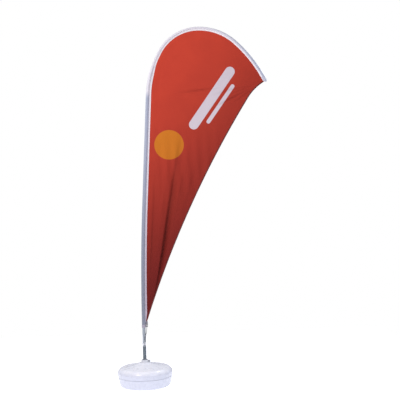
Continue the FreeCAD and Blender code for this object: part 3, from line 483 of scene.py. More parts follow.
def white_sleeve_cloth():
    """Plain-woven white polyester, thin enough that the grey aluminium tube inside it shows through where they
    touch.  Painted shade greys it the same way over the glass whip and the tip, and painted light and shade
    make it darker towards the bottom.  Its 0.4 mm threads are drawn 2 mm apart."""
    material, add, point = begin_finish("woven_white_polyester")
    weave = cloth_weave(add, 2.0 * MM)
    # The tube's grey is show-through over the aluminium, and painted shade over the glass whip and the tip.
    show_through_and_shade = add("Attribute", attribute_name="tube_show_through_and_shade").outputs["Fac"]
    stretched = add("Mapping", add("UVMap", uv_map="cloth"), Scale=(60.0, 2.2, 1.0))
    streak = add("TexNoise", stretched, 1.0, 3.0)
    patchy = add("MapRange", streak, 0.25, 0.75, 0.90)
    share = add("Math", show_through_and_shade, patchy, operation="MULTIPLY")
    height = add("SeparateXYZ", point).outputs["Z"]
    # Painted light and shade: both cloth colours are darker towards the bottom and lighter higher up.
    upper = add("MapRange", height, 0.6, 2.3, interpolation_type="SMOOTHSTEP")
    over_tube = add("Mix", upper, "#7b8090", "#a3abc0")
    plain = add("Mix", upper, "#bfb1c0", "#efebf1")
    ink = add("Mix", share, plain, over_tube)
    threads = add("MapRange", weave, 0.2, 1.0, 0.93)
    colour = add("HueSaturation", Color=ink, Value=threads)
    return complete_finish(material, colour, 0.6, (weave, 0.12 * MM, 0.4), IOR=1.46,
                           Sheen_Weight=0.2, Sheen_Roughness=0.5)


def binding_tape():
    """Folded polyester tape in a darker red, ribbed by its weave."""
    material, add, point = begin_finish("dark_red_binding_tape")
    weave = cloth_weave(add, 1.8 * MM)
    worn = patches(add, point, 30 * MM, 3.0, 0.35, 0.75)
    tape = add("Mix", worn, "#54100f", "#6f1a18")
    gaps = add("MapRange", weave, 0.0, 0.6, 0.35, 0.0)
    colour = add("Mix", gaps, tape, "#3c0c10")
    return complete_finish(material, colour, 0.66, (weave, 0.2 * MM, 0.6), IOR=1.46, Sheen_Weight=0.1)


def woven_webbing():
    """Flat woven nylon webbing, grey, with a coarse weave and a little soil."""
    material, add, point = begin_finish("grey_nylon_webbing")
    weave = cloth_weave(add, 1.6 * MM)
    rib = add("MapRange", weave, 0.0, 0.7)
    soil = add("TexNoise", point, 1 / (6 * MM), 3.0)
    thread = add("Mix", rib, "#54525b", "#7b7882")
    worn = add("MapRange", soil, 0.45, 0.75, 0.0, 0.4)
    colour = add("Mix", worn, thread, "#8f8c95")
    return complete_finish(material, colour, 0.58, (weave, 0.3 * MM, 0.8), IOR=1.5, Sheen_Weight=0.15)


def sewing_thread(name, dark, light):
    """Spun polyester thread: slightly glossy, with its twist too fine to draw."""
    return mottled(name, 4 * MM, dark, light, 0.5, IOR=1.5, Sheen_Weight=0.1)


def braided_elastic():
    """Polyester braid over rubber strands: two sets of yarns that cross on the slant, 1.1 mm apart."""
    material, add = begin_finish("grey_braided_elastic")[:2]
    flat = add("UVMap", uv_map="cloth")
    yarns = []
    for slant in (-45, 45):
        turned = add("Mapping", flat, Rotation=(0.0, 0.0, math.radians(slant)))
        yarns.append(add("TexWave", turned, WAVE_REPEAT / (1.1 * MM)).outputs["Fac"])
    braid = add("Math", *yarns, operation="MAXIMUM")
    crown = add("MapRange", braid, 0.2, 0.9)
    colour = add("Mix", crown, "#2b2c33", "#5b5f6b")
    return complete_finish(material, colour, 0.62, (braid, 0.25 * MM, 0.8), IOR=1.5, Sheen_Weight=0.15)


def blow_moulded_polyethylene():
    """Blow-moulded HDPE: waxy white with a cold cast and a soft gloss, faint ripples from the cooling mould and
    small scuffs round the foot.  Painted shade darkens it below 105 to 150 mm and along the parting groove."""
    material, add, point = begin_finish("blow_moulded_polyethylene")
    height = add("SeparateXYZ", point).outputs["Z"]
    cloudy = patches(add, point, 90 * MM, 4.0, 0.3, 0.7)
    wall = add("Mix", cloudy, "#e9ebf4", "#f0f2f9")
    # Painted shade: the wall is darker below 105 mm, fading out by 150 mm.
    clear_of_painted_shade = add("MapRange", height, 105 * MM, 150 * MM, interpolation_type="SMOOTHSTEP")
    filled = add("Mix", clear_of_painted_shade, "#cfd2e1", wall)
    # Painted shade: the wall is darkened up to 4 mm either side of the parting groove.
    from_groove = add("Math", height, GROOVE_HEIGHT, operation="SUBTRACT")
    beside = add("Math", from_groove, operation="ABSOLUTE")
    groove_painted_shade = add("MapRange", beside, 1.5 * MM, 4 * MM, 0.45, 0.0)
    filled = add("Mix", groove_painted_shade, filled, "#9fa4b2")
    grit = add("TexNoise", point, 1 / (5 * MM), 6.0, 0.7)
    scuffs = add("MapRange", grit, 0.60, 0.74)
    low = add("MapRange", height, 2 * MM, 30 * MM, 0.4, 0.03)
    scuffed = add("Math", scuffs, low, operation="MULTIPLY")
    colour = add("Mix", scuffed, filled, "#a9acb9")
    gloss = patches(add, point, 40 * MM, 3.0, 0.3, 0.7, 0.24, 0.34)
    rough = add("Math", gloss, scuffed, operation="ADD")
    ripple = add("TexNoise", point, 1 / (28 * MM), 1.0)
    return complete_finish(material, colour, rough, (ripple, 0.5 * MM, 0.03), IOR=1.51,
                           Coat_Weight=0.25, Coat_Roughness=0.12, Subsurface_Weight=0.1,
                           Subsurface_Scale=6 * MM, Subsurface_Radius=(1.0, 0.9, 0.8))


def moulded_plastic(name, dark, light, roughness, grain=1.2 * MM):
    """Injection-moulded plastic: even colour, a fine spark-eroded grain, and slightly polished patches."""
    material, add, point = begin_finish(name)
    flow = add("TexNoise", point, 1 / (25 * MM), 3.0)
    colour = add("Mix", flow, dark, light)
    rough = patches(add, point, 9 * MM, 3.0, 0.3, 0.7, roughness - 0.05, roughness + 0.08)
    eroded = add("TexNoise", point, 1 / grain, 2.0)
    return complete_finish(material, colour, rough, (eroded, 0.06 * MM, 0.5), IOR=1.49)


def draw_lines(add, point, width):
    """Noise stretched along z, as a tube is scored when it is drawn."""
    stretched = add("Mapping", point, Scale=(1.0, 1.0, 0.02))
    return add("TexNoise", stretched, 1 / width, 3.0)


def zinc_plated_steel():
    """Drawn steel tube, zinc plated: blue-grey, with soft 7 mm spangles and draw lines along it."""
    material, add, point = begin_finish("zinc_plated_steel")
    spangle = add("TexVoronoi", point, 1 / (7 * MM)).outputs["Color"]
    grey = add("SeparateColor", spangle).outputs["Red"]
    plating = add("Mix", grey, "#5d666f", "#79828a")
    dull = patches(add, point, 12 * MM, 5.0, 0.5, 0.75, 0.0, 0.35)
    colour = add("Mix", dull, plating, "#5d6266")
    satin = add("MapRange", grey, 0.0, 1.0, 0.30, 0.40)
    rough = add("Math", satin, dull, operation="ADD")
    lines = draw_lines(add, point, 0.9 * MM)
    return complete_finish(material, colour, rough, (lines, 0.02 * MM, 0.4), Metallic=1.0)


def anodised_aluminium():
    """Extruded and satin-anodised tube: pale grey, with fine lines along it."""
    material, add, point = begin_finish("satin_anodised_aluminium")
    lines = draw_lines(add, point, 0.8 * MM)
    share = add("MapRange", lines, 0.3, 0.7)
    colour = add("Mix", share, "#9aa1aa", "#b3b9c1")
    rough = add("MapRange", share, 0.0, 1.0, 0.28, 0.40)
    return complete_finish(material, colour, rough, (lines, 0.02 * MM, 0.5), Metallic=1.0)


def polished_metal(name, dark, light, roughness):
    """Turned or ground metal: fine rings 0.25 mm apart from the tool, and a little handling wear."""
    material, add, point = begin_finish(name)
    wear = patches(add, point, 3 * MM, 5.0, 0.35, 0.7)
    colour = add("Mix", wear, dark, light)
    rough = add("MapRange", wear, 0.0, 1.0, roughness, roughness + 0.12)
    rings = add("TexWave", point, WAVE_REPEAT / (0.25 * MM), bands_direction="Z").outputs["Fac"]
    return complete_finish(material, colour, rough, (rings, 0.006 * MM, 0.4), Metallic=1.0)


def pultruded_fibreglass():
    """Pultruded glass rod: off-white resin, mottled by the glass rovings in it."""
    material, add, point = begin_finish("pultruded_fibreglass")
    rovings = add("TexNoise", point, 1 / (0.9 * MM), 4.0)
    colour = add("Mix", rovings, "#cfcdc2", "#e8e6dd")
    rough = add("MapRange", rovings, 0.3, 0.7, 0.35, 0.5)
    return complete_finish(material, colour, rough, (rovings, 0.04 * MM, 0.5), IOR=1.54,
                           Coat_Weight=0.3, Coat_Roughness=0.2)


def nitrile_rubber():
    """Moulded nitrile rubber: near black, dusty matt."""
    material, add, point = begin_finish("nitrile_rubber")
    powder = add("TexNoise", point, 1 / (2 * MM), 5.0)
    dust = add("MapRange", powder, 0.4, 0.7)
    colour = add("Mix", dust, "#151517", "#2c2c2f")
    rough = add("MapRange", dust, 0.0, 1.0, 0.62, 0.8)
    return complete_finish(material, colour, rough, (powder, 0.03 * MM, 0.5), IOR=1.52)


def still_water():
    """Water inside the tank: clear, with a green-blue body."""
    return mottled("still_water", 60 * MM, "#bcd6de", "#d4e6ea", 0.03, IOR=1.333, Transmission_Weight=0.9)


def bare_floor():
    """Painted studio floor: pale, matt, a little uneven."""
    return mottled("pale_studio_floor", 600 * MM, "#f7f8f8", "#fdfefe", 0.85, Emission_Color="#ffffff",
                   Emission_Strength=0.50)


# ---------------------------------------------------------------- the tank


def tank_profile():
    """Outside of the tank from the middle of its underside, up over the hub and down into the well."""
    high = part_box("base_tank")[1]
    top, outer = high.z, high.x
    well, floor = 14.3 * MM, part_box("socket_tube")[0].z
    corners = (
        (0.0, 0.0, 0.0),
        (60 * MM, 0.0, 4 * MM),
        (70 * MM, 6 * MM, 4 * MM),
        (150 * MM, 6 * MM, 4 * MM),
        (160 * MM, 0.0, 4 * MM),
        (outer - 33 * MM, 0.0, 12 * MM),
        (outer - 21 * MM, 12 * MM, 12 * MM),
        (outer - 5 * MM, 78 * MM, 1.2 * MM),
        (outer - 7.5 * MM, GROOVE_HEIGHT, 1.2 * MM),
        (outer - 3 * MM, 83 * MM, 2 * MM),
        (outer, 118 * MM, 34 * MM),
        (outer - 25 * MM, 149 * MM, 36 * MM),
        (100 * MM, 169 * MM, 120 * MM),
        (52 * MM, 180 * MM, 14 * MM),
        (48 * MM, top, 3 * MM),
        (well, top, 1 * MM),
        (well, floor, 1 * MM),
        (0.0, floor, 0.0),
    )
    return rounded_profile(corners, 4 * MM)


def closed_turning(name, profile, segments, finish, centre=(0.0, 0.0), **placing):
    """A closed surface from a profile whose two ends lie on the axis, turned about a vertical axis."""
    shift = np.array([*centre, 0.0])
    rings = revolve(profile[1:-1], segments) + shift
    poles = [shift + [0, 0, profile[0, 1]], shift + [0, 0, profile[-1, 1]]]
    points = np.concatenate([rings.reshape(-1, 3), poles])
    return make_piece(name, points, capped_tube(len(rings), segments), finish, body="base", **placing)


def make_tank(finish):
    """The tank is its profile turned about the axis.  A round recess is sunk to a level pad in its slope, the
    filler's neck stands on the pad, and a bore goes down through both."""
    tank = closed_turning("tank", tank_profile(), 160, finish, replaces=["base_tank"], slot="base_plastic")
    cap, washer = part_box("filler_cap"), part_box("filler_washer")
    centre = (cap[0].x + cap[1].x) / 2, (cap[0].y + cap[1].y) / 2
    neck_top, neck = washer[0].z, (washer[1].x - washer[0].x) / 2
    pad, bore, above = neck_top - 12 * MM, 16 * MM, 240 * MM
    recess = ((0, pad, 0), (34 * MM, pad, 4 * MM), (36 * MM, above, 0), (0, above, 0))
    neck = ((0, pad - 3 * MM, 0), (neck, pad - 3 * MM, 0), (neck, neck_top, 1 * MM), (0, neck_top, 0))
    hole = ((0, pad - 30 * MM, 0), (bore, pad - 30 * MM, 0), (bore, neck_top + 5 * MM, 0),
            (0, neck_top + 5 * MM, 0))
    for name, outline, operation in (("recess", recess, "DIFFERENCE"), ("neck", neck, "UNION"),
                                     ("bore", hole, "DIFFERENCE")):
        tool = closed_turning(name, rounded_profile(outline, 4 * MM), 96, finish, centre)
        shape_tank(tank, tool, operation)
    tank.data.polygons.foreach_set("use_smooth", np.ones(len(tank.data.polygons), bool))
    tank.data.set_sharp_from_angle(angle=math.radians(35))
    return tank


def shape_tank(tank, tool, operation):
    """Unites the tank with the tool, or cuts the tool out of it, and drops the tool."""
    modifier = tank.modifiers.new(operation.lower(), "BOOLEAN")
    modifier.operation, modifier.object, modifier.solver = operation, tool, "EXACT"
    shaped = worked_out(tank)
    tank.modifiers.clear()
    tank.data = shaped
    bpy.data.objects.remove(tool)


# ---------------------------------------------------------------- the cloth


def make_sail(finish):
    """The sail is ruled between the seam and the free edge, then set in depth.  Its front and back are
    half the cloth's thickness either side of that surface, and meet round its edge."""
    rows, columns = 400, 120
    low_z = LEECH_CORNER[1] + 2 * MM
    shares = np.linspace(0, 1, 2000)
    first_share = np.interp(low_z, leech_line(shares)[1], shares)
    up = np.linspace(0, 1, rows)
    stations = (low_z - FOOT) + up * (SAIL_TOP - (low_z - FOOT))
    overlap = sleeve_radius(stations) + 5 * MM * smoothstep(stations, 0.19, 0.30)
    luff_x, luff_z = beside_pole(stations, overlap)
    leech_x, leech_z = leech_line(first_share + up * (0.9985 - first_share), 0.2 * MM)
    across = np.linspace(0, 1, columns)
    x = luff_x[:, None] + (leech_x - luff_x)[:, None] * across
    z = luff_z[:, None] + (leech_z - luff_z)[:, None] * across
    depth = sail_depth(x, z)
    sides = [np.stack([x, depth + side * SAIL_CLOTH / 2, z], axis=-1).reshape(-1, 3) for side in (-1, 1)]
    count = rows * columns
    index = np.arange(count).reshape(rows, columns)
    rim = np.concatenate([index[0, :-1], index[:-1, -1], index[-1, :0:-1], index[:0:-1, 0]])
    following = np.roll(rim, -1)
    edge = np.stack([rim, rim + count, following + count, following], axis=-1)
    sheet_faces = grid_faces(rows, columns)
    # fold_shade is painted shade: it darkens the cloth's colour along its folds and creases.
    return make_piece("sail_cloth", np.concatenate(sides), [sheet_faces, sheet_faces[:, ::-1] + count, edge],
                      finish, ["sail"], "red_fabric", uv=np.tile(in_pairs(x, z).reshape(-1, 2), (2, 1)),
                      values={"fold_shade": np.tile(sail_folds(x, z)[1].ravel(), 2)})


def sleeve_section(radius, tail, half_tail):
    """Round the tube, off it along both tangents to the seam, then flat to the tail's edge."""
    seam = radius + np.minimum(4 * MM, tail * 0.5)
    tangent = np.arccos(radius / seam)
    turn = np.linspace(0, 1, 31)
    angle = tangent + (TURN - 2 * tangent) * turn
    round_across, round_side = radius * np.cos(angle), radius * np.sin(angle)
    edge = radius + tail
    tail_across = np.concatenate([seam, (seam + edge) / 2, edge, edge, (seam + edge) / 2, seam], axis=1)
    tail_side = np.broadcast_to(half_tail * np.repeat([-1.0, 1.0], 3), tail_across.shape)
    return np.hstack([round_across, tail_across]), np.hstack([round_side, tail_side])


def make_sleeve(finish):
    """The sleeve's section carried along the pole, with gathers inside the bend and long soft creases."""
    stations = np.arange(SLEEVE_START, SLEEVE_END, 6 * MM)
    radius = sleeve_radius(stations)[:, None] - 0.3 * MM
    tail = seam_width(stations)[:, None] + 0.3 * MM
    start = LEECH_CORNER[1] - FOOT
    tail = 2 * MM + (tail - 2 * MM) * smoothstep(stations, start - 4 * MM, start + 110 * MM)[:, None]
    across, side = sleeve_section(radius, tail, 0.6 * MM)
    bend = smoothstep(stations, TAPER_START - 0.1, TAPER_START + 0.25)[:, None]
    inside = smoothstep(across / radius, -0.2, 0.9) * (across < radius + 1 * MM)
    gathers = np.sin(stations / (21 * MM) * TURN + 2 * np.sin(stations * 9))[:, None]
    gathers = gathers * 0.7 * MM * bend * inside
    around = np.arctan2(side, across)
    creases = (np.sin(3 * around + 5 * np.sin(stations * 2.3)[:, None]) * 0.35 * MM
               + np.sin(5 * around - stations[:, None] * 11) * 0.2 * MM)
    loose = (gathers + creases) * (across < radius + 1 * MM)
    across, side = across * (1 + loose / radius), side * (1 + loose / radius)
    points = along_pole(stations, across, side)
    rows, columns = across.shape
    steps = np.cumsum(np.hypot(np.diff(across), np.diff(side)), axis=1)
    flat = in_pairs(np.concatenate([np.zeros((rows, 1)), steps], axis=1), stations[:, None])
    over_tube = (1 - smoothstep(stations, ALUMINIUM_END - 0.05, ALUMINIUM_END + 0.04))[:, None]
    # Painted shade: over the glass whip the sleeve's round part is greyed as if a tube showed through, rising
    # from 30 to 92 percent towards the tip.
    painted_shade_over_whip = 0.30 + 0.62 * smoothstep(stations, 2.7, 3.5)[:, None]
    show_through_and_shade = np.maximum(over_tube, painted_shade_over_whip) * (1 - smoothstep(across, radius - 1 * MM, radius + 4 * MM))
    sleeve = make_piece("sleeve_cloth", points, [grid_faces(rows, columns, closed_columns=True)], finish,
                        ["pole_sleeve", "seam_strip"], "white_fabric", uv=flat,
                        values={"tube_show_through_and_shade": show_through_and_shade})
    return solidify(sleeve, SLEEVE_CLOTH)


def make_sleeve_band(finish):
    """A turned-up hem round the sleeve's mouth: a band with rolled edges, pulled in along its stitches."""
    length, rows, around = 25 * MM, 26, 48
    stations = SLEEVE_START - 0.6 * MM + np.linspace(0, length, rows)
    share = (stations - stations[0]) / length
    angle = whole_turn(around)
    puckers = 0.25 * MM * np.sin(11 * angle) * np.sin(share * math.pi)[:, None]
    swell = WIDE + 0.25 * MM + 0.7 * MM * (np.sin(share * math.pi) ** 0.3)[:, None] + puckers
    points = along_pole(stations, swell * np.cos(angle), swell * np.sin(angle))
    band = make_piece("sleeve_hem", points, [grid_faces(rows, around, closed_columns=True)], finish,
                      ["sleeve_band"], "white_fabric", uv=in_pairs(angle * WIDE, stations[:, None]),
                      values={"tube_show_through_and_shade": np.full((rows, around), 0.55)})
    return solidify(band, 0.7 * MM)


def make_tip_pocket(finish):
    """The sleeve's closed end: a doubled cap of cloth that narrows to a dome over the whip's end."""
    start, end, rows, around = 3.500, 3.549, 30, 40
    share = np.linspace(0, 1, rows)
    stations = start + (end - start) * share
    dome = np.sqrt(np.clip(1 - smoothstep(share, 0.72, 1.0) ** 2 * 0.985, 0, 1))
    angle = whole_turn(around)
    puckers = 1 + 0.03 * np.sin(7 * angle) * share[:, None]
    radius = (SLIM + 1.4 * MM) * dome[:, None] * puckers
    rise = np.maximum(np.cos(angle), 0) ** 4 * 7 * MM * (1 - smoothstep(share, 0.6, 0.98))[:, None]
    flatten = 1 - 0.55 * np.maximum(np.cos(angle), 0) ** 2 * (1 - share)[:, None]
    points = along_pole(stations, radius * np.cos(angle) + rise, radius * np.sin(angle) * flatten)
    points = np.concatenate([points.reshape(-1, 3), along_pole(np.array([end]), 0.0, 0.0)[0]])
    flat = np.concatenate([in_pairs(angle * SLIM, stations[:, None]).reshape(-1, 2), [[0.0, end]]])
    faces = [grid_faces(rows, around, closed_columns=True),
             fan(rows * around, (rows - 1) * around + np.arange(around))]
    # Painted shade: the cap is greyed at 80 percent as if a tube showed through, over the whip's white end.
    pocket = make_piece("tip_cap", points, faces, finish, ["tip_pocket"], "white_fabric", uv=flat,
                        values={"tube_show_through_and_shade": np.full(len(points), 0.80)})
    return solidify(pocket, 0.6 * MM)


def make_binding(finish):
    """Tape folded over the free edge: its section is a flat U whose inner edges lie on the cloth, and it
    follows the cloth's depth."""
    rows = 420
    shares = np.linspace(0.004, 0.994, rows)
    section = np.array([(HEM_WIDTH, 0.30 * MM), (HEM_WIDTH, 0.95 * MM), (HEM_WIDTH * 0.6, 1.15 * MM),
                        (3 * MM, 1.2 * MM), (0.6 * MM, 1.1 * MM), (-0.5 * MM, 0.6 * MM), (-0.8 * MM, 0.0)])
    section = np.concatenate([section, section[-2::-1] * np.array([1, -1])])
    lines = [leech_line(shares, offset) for offset in section[:, 0]]
    x, z = (np.stack([line[axis] for line in lines], axis=1) for axis in (0, 1))
    ripple = 0.12 * MM * np.sin(shares * 520)[:, None] * (np.abs(section[:, 1]) > 0.9 * MM)
    points = np.stack([x, sail_depth(x, z) + section[:, 1] + ripple * np.sign(section[:, 1]), z], axis=-1)
    flat = in_pairs(running_length(section), (shares * LEECH_LENGTH)[:, None])
    columns = len(section)
    ends = [[list(range(columns))], [list(range(rows * columns - 1, (rows - 1) * columns - 1, -1))]]
    faces = [grid_faces(rows, columns, closed_columns=True)[:, ::-1], *ends]
    return make_piece("edge_binding", points, faces, finish, ["leech_hem"], "red_binding", uv=flat)


def make_corner_tab(finish):
    """A folded strip of webbing: rounded outline, a hole for the eyelet, edges that roll over."""
    low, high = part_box("corner_tab")
    eyelet_low, eyelet_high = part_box("corner_eyelet")
    hole_x, hole_z = (eyelet_low.x + eyelet_high.x) / 2, (eyelet_low.z + eyelet_high.z) / 2
    around, squareness = 96, 7
    angle = whole_turn(around)
    half_x, half_z = (high.x - low.x) / 2, (high.z - low.z) / 2
    size = (np.abs(np.cos(angle) / half_x) ** squareness
            + np.abs(np.sin(angle) / half_z) ** squareness) ** (-1 / squareness)
    outline_x = (low.x + high.x) / 2 + size * np.cos(angle)
    outline_z = (low.z + high.z) / 2 + size * np.sin(angle)
    spread = np.array([0.0, 0.10, 0.3, 0.5, 0.7, 0.85, 0.95, 0.99, 1.0])[:, None]
    thick = (high.y - low.y) / 2 * np.array([0.9, 0.94, 0.97, 1.0, 1.0, 0.97, 0.85, 0.55, 0.0])[:, None]
    ring_x, ring_z = hole_x + EYELET_RADIUS * np.cos(angle), hole_z + EYELET_RADIUS * np.sin(angle)
    x, z = ring_x + (outline_x - ring_x) * spread, ring_z + (outline_z - ring_z) * spread
    front, back = (np.stack([x, side * thick + 0 * x, z], axis=-1) for side in (-1, 1))
    points = np.concatenate([front, back[-2::-1]])
    faces = grid_faces(len(points), around, closed_rows=True, closed_columns=True)[:, ::-1]
    return make_piece("corner_webbing", points, [faces], finish, ["corner_tab"], "webbing",
                      uv=points[..., ::2])


# ---------------------------------------------------------------- stitches


def make_stitches(name, middles, directions, finish, slot, length=3.2 * MM, width=0.55 * MM):
    """One long eight-sided grain of thread for each stitch."""
    middles, directions = np.asarray(middles), np.asarray(directions)
    directions = directions / np.linalg.norm(directions, axis=1)[:, None]
    across = np.cross(directions, np.array([0.0, 1.0, 0.0]))
    across /= np.linalg.norm(across, axis=1)[:, None]
    lift = np.cross(across, directions)
    arms = [directions * length / 2, across * width / 2, lift * width / 2]
    points = np.stack([middles + sign * arm for arm in arms for sign in (1, -1)], axis=1)
    shape = np.array([(4, 2, 0), (4, 1, 2), (4, 3, 1), (4, 0, 3),
                      (5, 0, 2), (5, 2, 1), (5, 1, 3), (5, 3, 0)])
    faces = (shape[None] + 6 * np.arange(len(middles))[:, None, None]).reshape(-1, 3)
    return make_piece(name, points, [faces], finish, slot=slot)


def seam_stitches(finish):
    """Two rows down each face of the seam strip."""
    stations = np.arange(0.290, 3.520, STITCH_PITCH)
    heading = pole_line(stations)[2]
    way = np.stack([np.sin(heading), 0 * heading, np.cos(heading)], axis=-1)
    edge = (sleeve_radius(stations) + seam_width(stations))[:, None]
    middles = [along_pole(stations, edge - inset, side)[:, 0]
               for inset in (2.0 * MM, 6.0 * MM) for side in (-0.72 * MM, 0.72 * MM)]
    return make_stitches("seam_stitches", np.concatenate(middles), np.tile(way, (4, 1)), finish,
                         "white_fabric")


def binding_stitches(finish):
    """One row along each face of the binding, near its inner edge."""
    shares = np.arange(0.02, 0.985, STITCH_PITCH / LEECH_LENGTH)
    here, ahead = (np.stack([x, sail_depth(x, z), z], axis=-1)
                   for x, z in (leech_line(shares + step, HEM_WIDTH - 3 * MM) for step in (0.0, 0.001)))
    sides = [here + np.array([0.0, side, 0.0]) for side in (-1.22 * MM, 1.22 * MM)]
    return make_stitches("binding_stitches", np.concatenate(sides), np.tile(ahead - here, (2, 1)), finish,
                         "red_binding")


def ring_stitches(finish):
    """A round of stitches near each edge of the sleeve's hem."""
    angle, reach = whole_turn(24), WIDE + 1.0 * MM
    stations = SLEEVE_START + np.array([4 * MM, 20 * MM])
    middles = along_pole(stations, reach * np.cos(angle), reach * np.sin(angle))
    ways = along_pole(stations, -np.sin(angle), np.cos(angle)) - along_pole(stations, 0.0, 0.0)
    # no stitch lies quite along y, because its own width is worked out from that axis
    return make_stitches("hem_stitches", middles.reshape(-1, 3), ways.reshape(-1, 3) + 1e-4, finish,
                         "white_fabric", length=2.6 * MM)


# ---------------------------------------------------------------- the elastic


HOOK_ANGLE = math.radians(-70)
GRIP = 19.75 * MM
KNOT_HEIGHT = 325 * MM
# up from the knot on one side of the lug, through the eyelet, and down on the other side
ELASTIC_ROUTE = (
    (0.0006, -0.0208, 0.3310),
    (0.0006, -0.0208, 0.3710),
    (0.0180, -0.0055, 0.4244),
    (0.0250, -0.0055, 0.4684),
    (0.0250, -0.0055, 0.4844),
    (0.0250, 0.0055, 0.4844),
    (0.0250, 0.0055, 0.4684),
    (0.0180, 0.0055, 0.4244),
    (0.0129, -0.0163, 0.3710),
    (0.0129, -0.0163, 0.3310),
)


def hook_point(radial, tangential, height):
    """A point out along the hook and across it, from the pole's axis."""
    return (radial * math.cos(HOOK_ANGLE) - tangential * math.sin(HOOK_ANGLE),
            radial * math.sin(HOOK_ANGLE) + tangential * math.cos(HOOK_ANGLE), height)


def smooth_line(route):
    """Points along the route's own NURBS curve, as a curve with no bevel gives them."""
    curve = bpy.data.curves.new("route", "CURVE")
    curve.dimensions = "3D"
    spline = curve.splines.new("NURBS")
    spline.points.add(len(route) - 1)
    for point, corner in zip(spline.points, route):
        point.co = (*corner, 1.0)
    spline.order_u, spline.use_endpoint_u, spline.resolution_u = 3, True, 12
    carrier = show("route", curve)
    mesh = worked_out(carrier)
    line = np.array([vertex.co for vertex in mesh.vertices])
    bpy.data.objects.remove(carrier)
    bpy.data.meshes.remove(mesh)
    return line


def tube_along(name, line, radius, finish, replaces, slot, around=14):
    """A round tube on a line: each ring stands square to the line, and is turned as little as it can be
    from the ring before it.  Both ends are closed by domes."""
    ways = np.gradient(line, axis=0)
    ways /= np.linalg.norm(ways, axis=1)[:, None]
    normal = np.cross(ways[0], [0.3, 0.9, 0.1])
    sides = []
    for way in ways:
        normal = normal - way * (normal @ way)
        normal = normal / np.linalg.norm(normal)
        sides.append(normal)
    sides = np.array(sides)
    ups = np.cross(ways, sides)
    angle, lengths = whole_turn(around)[:, None], running_length(line)
    rings = line[:, None] + radius * (sides[:, None] * np.cos(angle) + ups[:, None] * np.sin(angle))
    ends = np.array([line[0] - ways[0] * radius * 0.4, line[-1] + ways[-1] * radius * 0.4])
    points = np.concatenate([rings.reshape(-1, 3), ends])
    flat = in_pairs(angle[:, 0] * radius, lengths[:, None]).reshape(-1, 2)
    flat = np.concatenate([flat, [[0.0, 0.0], [0.0, lengths[-1]]]])
    return make_piece(name, points, capped_tube(len(line), around), finish, replaces, slot, uv=flat)


def make_elastic(finish):
    """The stretched loop of elastic, and the overhand knot that holds its two ends under the lug."""
    line = smooth_line(ELASTIC_ROUTE)
    cord = tube_along("elastic_loop", line, CORD_RADIUS, finish, ["elastic_cord"], "elastic")
    turn = np.linspace(0, 1, 90)
    phase = turn * TURN * 1.5 - math.pi / 4
    tangential = (-6.5 + 13 * turn) * MM * 0.55 + 3.4 * MM * np.sin(2 * phase)
    outward = 1.6 * MM * np.cos(3 * phase)
    height = KNOT_HEIGHT + 1.7 * MM * np.sin(3 * phase)
    ease = smoothstep(np.minimum(turn, 1 - turn), 0.0, 0.12)
    ends = np.where(turn < 0.5, -6.5, 6.5) * MM
    tangential = ends * (1 - ease) + tangential * ease
    outward, height = outward * ease, (KNOT_HEIGHT + 6 * MM) * (1 - ease) + height * ease
    knot = np.stack(hook_point(GRIP + outward, tangential, height), axis=-1)
    knot_piece = tube_along("elastic_knot_tied", knot, CORD_RADIUS, finish, ["elastic_knot"], "elastic")


# ---------------------------------------------------------------- finishes for the hard pieces


def finish_hard_pieces():
    white = moulded_plastic("moulded_white_polypropylene", "#d3d5dc", "#e2e4ea", 0.30)
    nylon = moulded_plastic("natural_nylon", "#cfc9b4", "#ded9c8", 0.42)
    knob = moulded_plastic("grey_glass_filled_nylon", "#b4b8c2", "#c6cad3", 0.45, 0.7 * MM)
    zinc, aluminium = zinc_plated_steel(), anodised_aluminium()
    bearing = polished_metal("ground_bearing_steel", "#8f9296", "#b9bcc0", 0.14)
    nickel = polished_metal("nickel_plated_brass", "#8d8a83", "#b9b6ae", 0.24)
    brass = polished_metal("turned_brass", "#8f6f35", "#c09a52", 0.26)
    oxide = polished_metal("black_oxide_spring_steel", "#2a2a2c", "#454548", 0.36)
    glass_rod, rubber, water = pultruded_fibreglass(), nitrile_rubber(), still_water()
    finishes = (
        (white, ("filler_cap", "hub_collar", "dust_washer", "tension_hook", "whip_end_cap")),
        (knob, ("lock_knob",)),
        (nylon, ("lock_pad", "lower_cage", "upper_cage", "reducer_bush")),
        (zinc, ("socket_tube", "spindle_axle", "rotor_tube", "rotor_post", "lock_stud")),
        (aluminium, ("pole_section_1", "pole_section_2", "pole_joiner", "inner_spacer", "outer_spacer")),
        (bearing, ("lower_inner_race", "lower_outer_race", "lower_balls",
                   "upper_inner_race", "upper_outer_race", "upper_balls")),
        (nickel, ("whip_ferrule", "hook_rivet", "corner_eyelet")),
        (brass, ("lock_insert",)),
        (oxide, ("axle_clip", "rotor_clip")),
        (glass_rod, ("whip_lower", "whip_upper")),
        (rubber, ("filler_washer",)),
        (water, ("ballast_water",)),
    )
    for material, names in finishes:
        for name in names:
            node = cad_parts[name]
            node.data.materials.clear()
            node.data.materials.append(material)


# ---------------------------------------------------------------- studio


def make_floor():
    mesh = bpy.data.meshes.new("floor")
    reach, level = 2.5, -0.1 * MM
    corners = [(-reach, -reach, level), (reach, -reach, level), (reach, reach, level), (-reach, reach, level)]
    mesh.from_pydata(corners, [], [(0, 1, 2, 3)])
    mesh.materials.append(bare_floor())
    show("floor", mesh)


def area_light(name, position, aim, width, height, power, colour):
    data = bpy.data.lights.new(name, "AREA")
    data.shape, data.size, data.size_y = "RECTANGLE", width, height
    data.energy = power
    data.color = linear(colour)[:3]
    lamp = show(name, data)
    lamp.location = position
    lamp.rotation_mode = "QUATERNION"
    lamp.rotation_quaternion = (Vector(aim) - Vector(position)).to_track_quat("-Z", "Y")


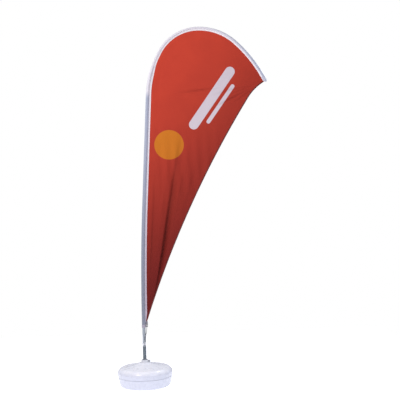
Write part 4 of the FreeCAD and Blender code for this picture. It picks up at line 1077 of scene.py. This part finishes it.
def make_lights():
    """A tall softbox at the upper left, a weaker one low on the right, a small lamp overhead, and a white
    room that is brighter on the left."""
    area_light("key_softbox", (-1.7, -2.6, 3.9), (0.30, 0.0, 2.3), 1.2, 1.4, 80.0, "#fff4ea")
    area_light("fill_softbox", (1.3, -1.7, 1.7), (0.0, 0.0, 0.1), 0.8, 0.8, 9.0, "#eef2ff")
    area_light("overhead_lamp", (1.8, 0.4, 2.75), (0.1, -0.15, 0.13), 0.35, 0.35, 22.0, "#ffffff")
    world = bpy.data.worlds.new("white_room")
    world.use_nodes = True
    world.node_tree.nodes.clear()
    add = partial(add_node, world.node_tree)
    sideways = add("SeparateXYZ", add("TexCoord").outputs["Generated"]).outputs["X"]
    strength = add("MapRange", sideways, -0.9, 0.9, 0.76, 0.34)
    room, backdrop = add("Background", "#f1f3ff", strength), add("Background", "#ffffff", 1.0)
    seen = add("LightPath").outputs["Is Camera Ray"]
    add("OutputWorld", add("MixShader", seen, room, backdrop))
    bpy.context.scene.world = world


def make_camera():
    """Level camera in front of the flag, a little below half its height, rolled by under two degrees."""
    roll = math.radians(1.75)
    distance, field_width = 6.5, 3.256
    low, high = cad_bounds
    position = Vector((low.x + 0.5516 * (high.x - low.x), -distance, 0.5140 * high.z))
    data = bpy.data.cameras.new("camera")
    data.lens = data.sensor_width * distance / field_width
    camera = show("camera", data)
    right, up = Vector((math.cos(roll), 0, -math.sin(roll))), Vector((math.sin(roll), 0, math.cos(roll)))
    turned = Matrix((right, up, Vector((0, -1, 0)))).transposed().to_4x4()
    camera.matrix_world = Matrix.Translation(position) @ turned
    bpy.context.scene.camera = camera
    bpy.context.scene.view_settings.view_transform = "Standard"


# ---------------------------------------------------------------- the whole


def main():
    make_camera()
    make_elastic(braided_elastic())
    sleeve_finish, tape = white_sleeve_cloth(), binding_tape()
    white_thread = sewing_thread("white_thread", "#d3d0da", "#efedf3")
    red_thread = sewing_thread("red_thread", "#6f191d", "#8b2529")
    sail = make_sail(polyester_flag_cloth())
    binding = make_binding(tape)
    binding_row = binding_stitches(red_thread)
    sleeve = make_sleeve(sleeve_finish)
    band, pocket = make_sleeve_band(sleeve_finish), make_tip_pocket(sleeve_finish)
    seam_rows, hem_rows = seam_stitches(white_thread), ring_stitches(white_thread)
    webbing = make_corner_tab(woven_webbing())
    make_tank(blow_moulded_polyethylene())
    finish_hard_pieces()
    make_floor()
    make_lights()


main()
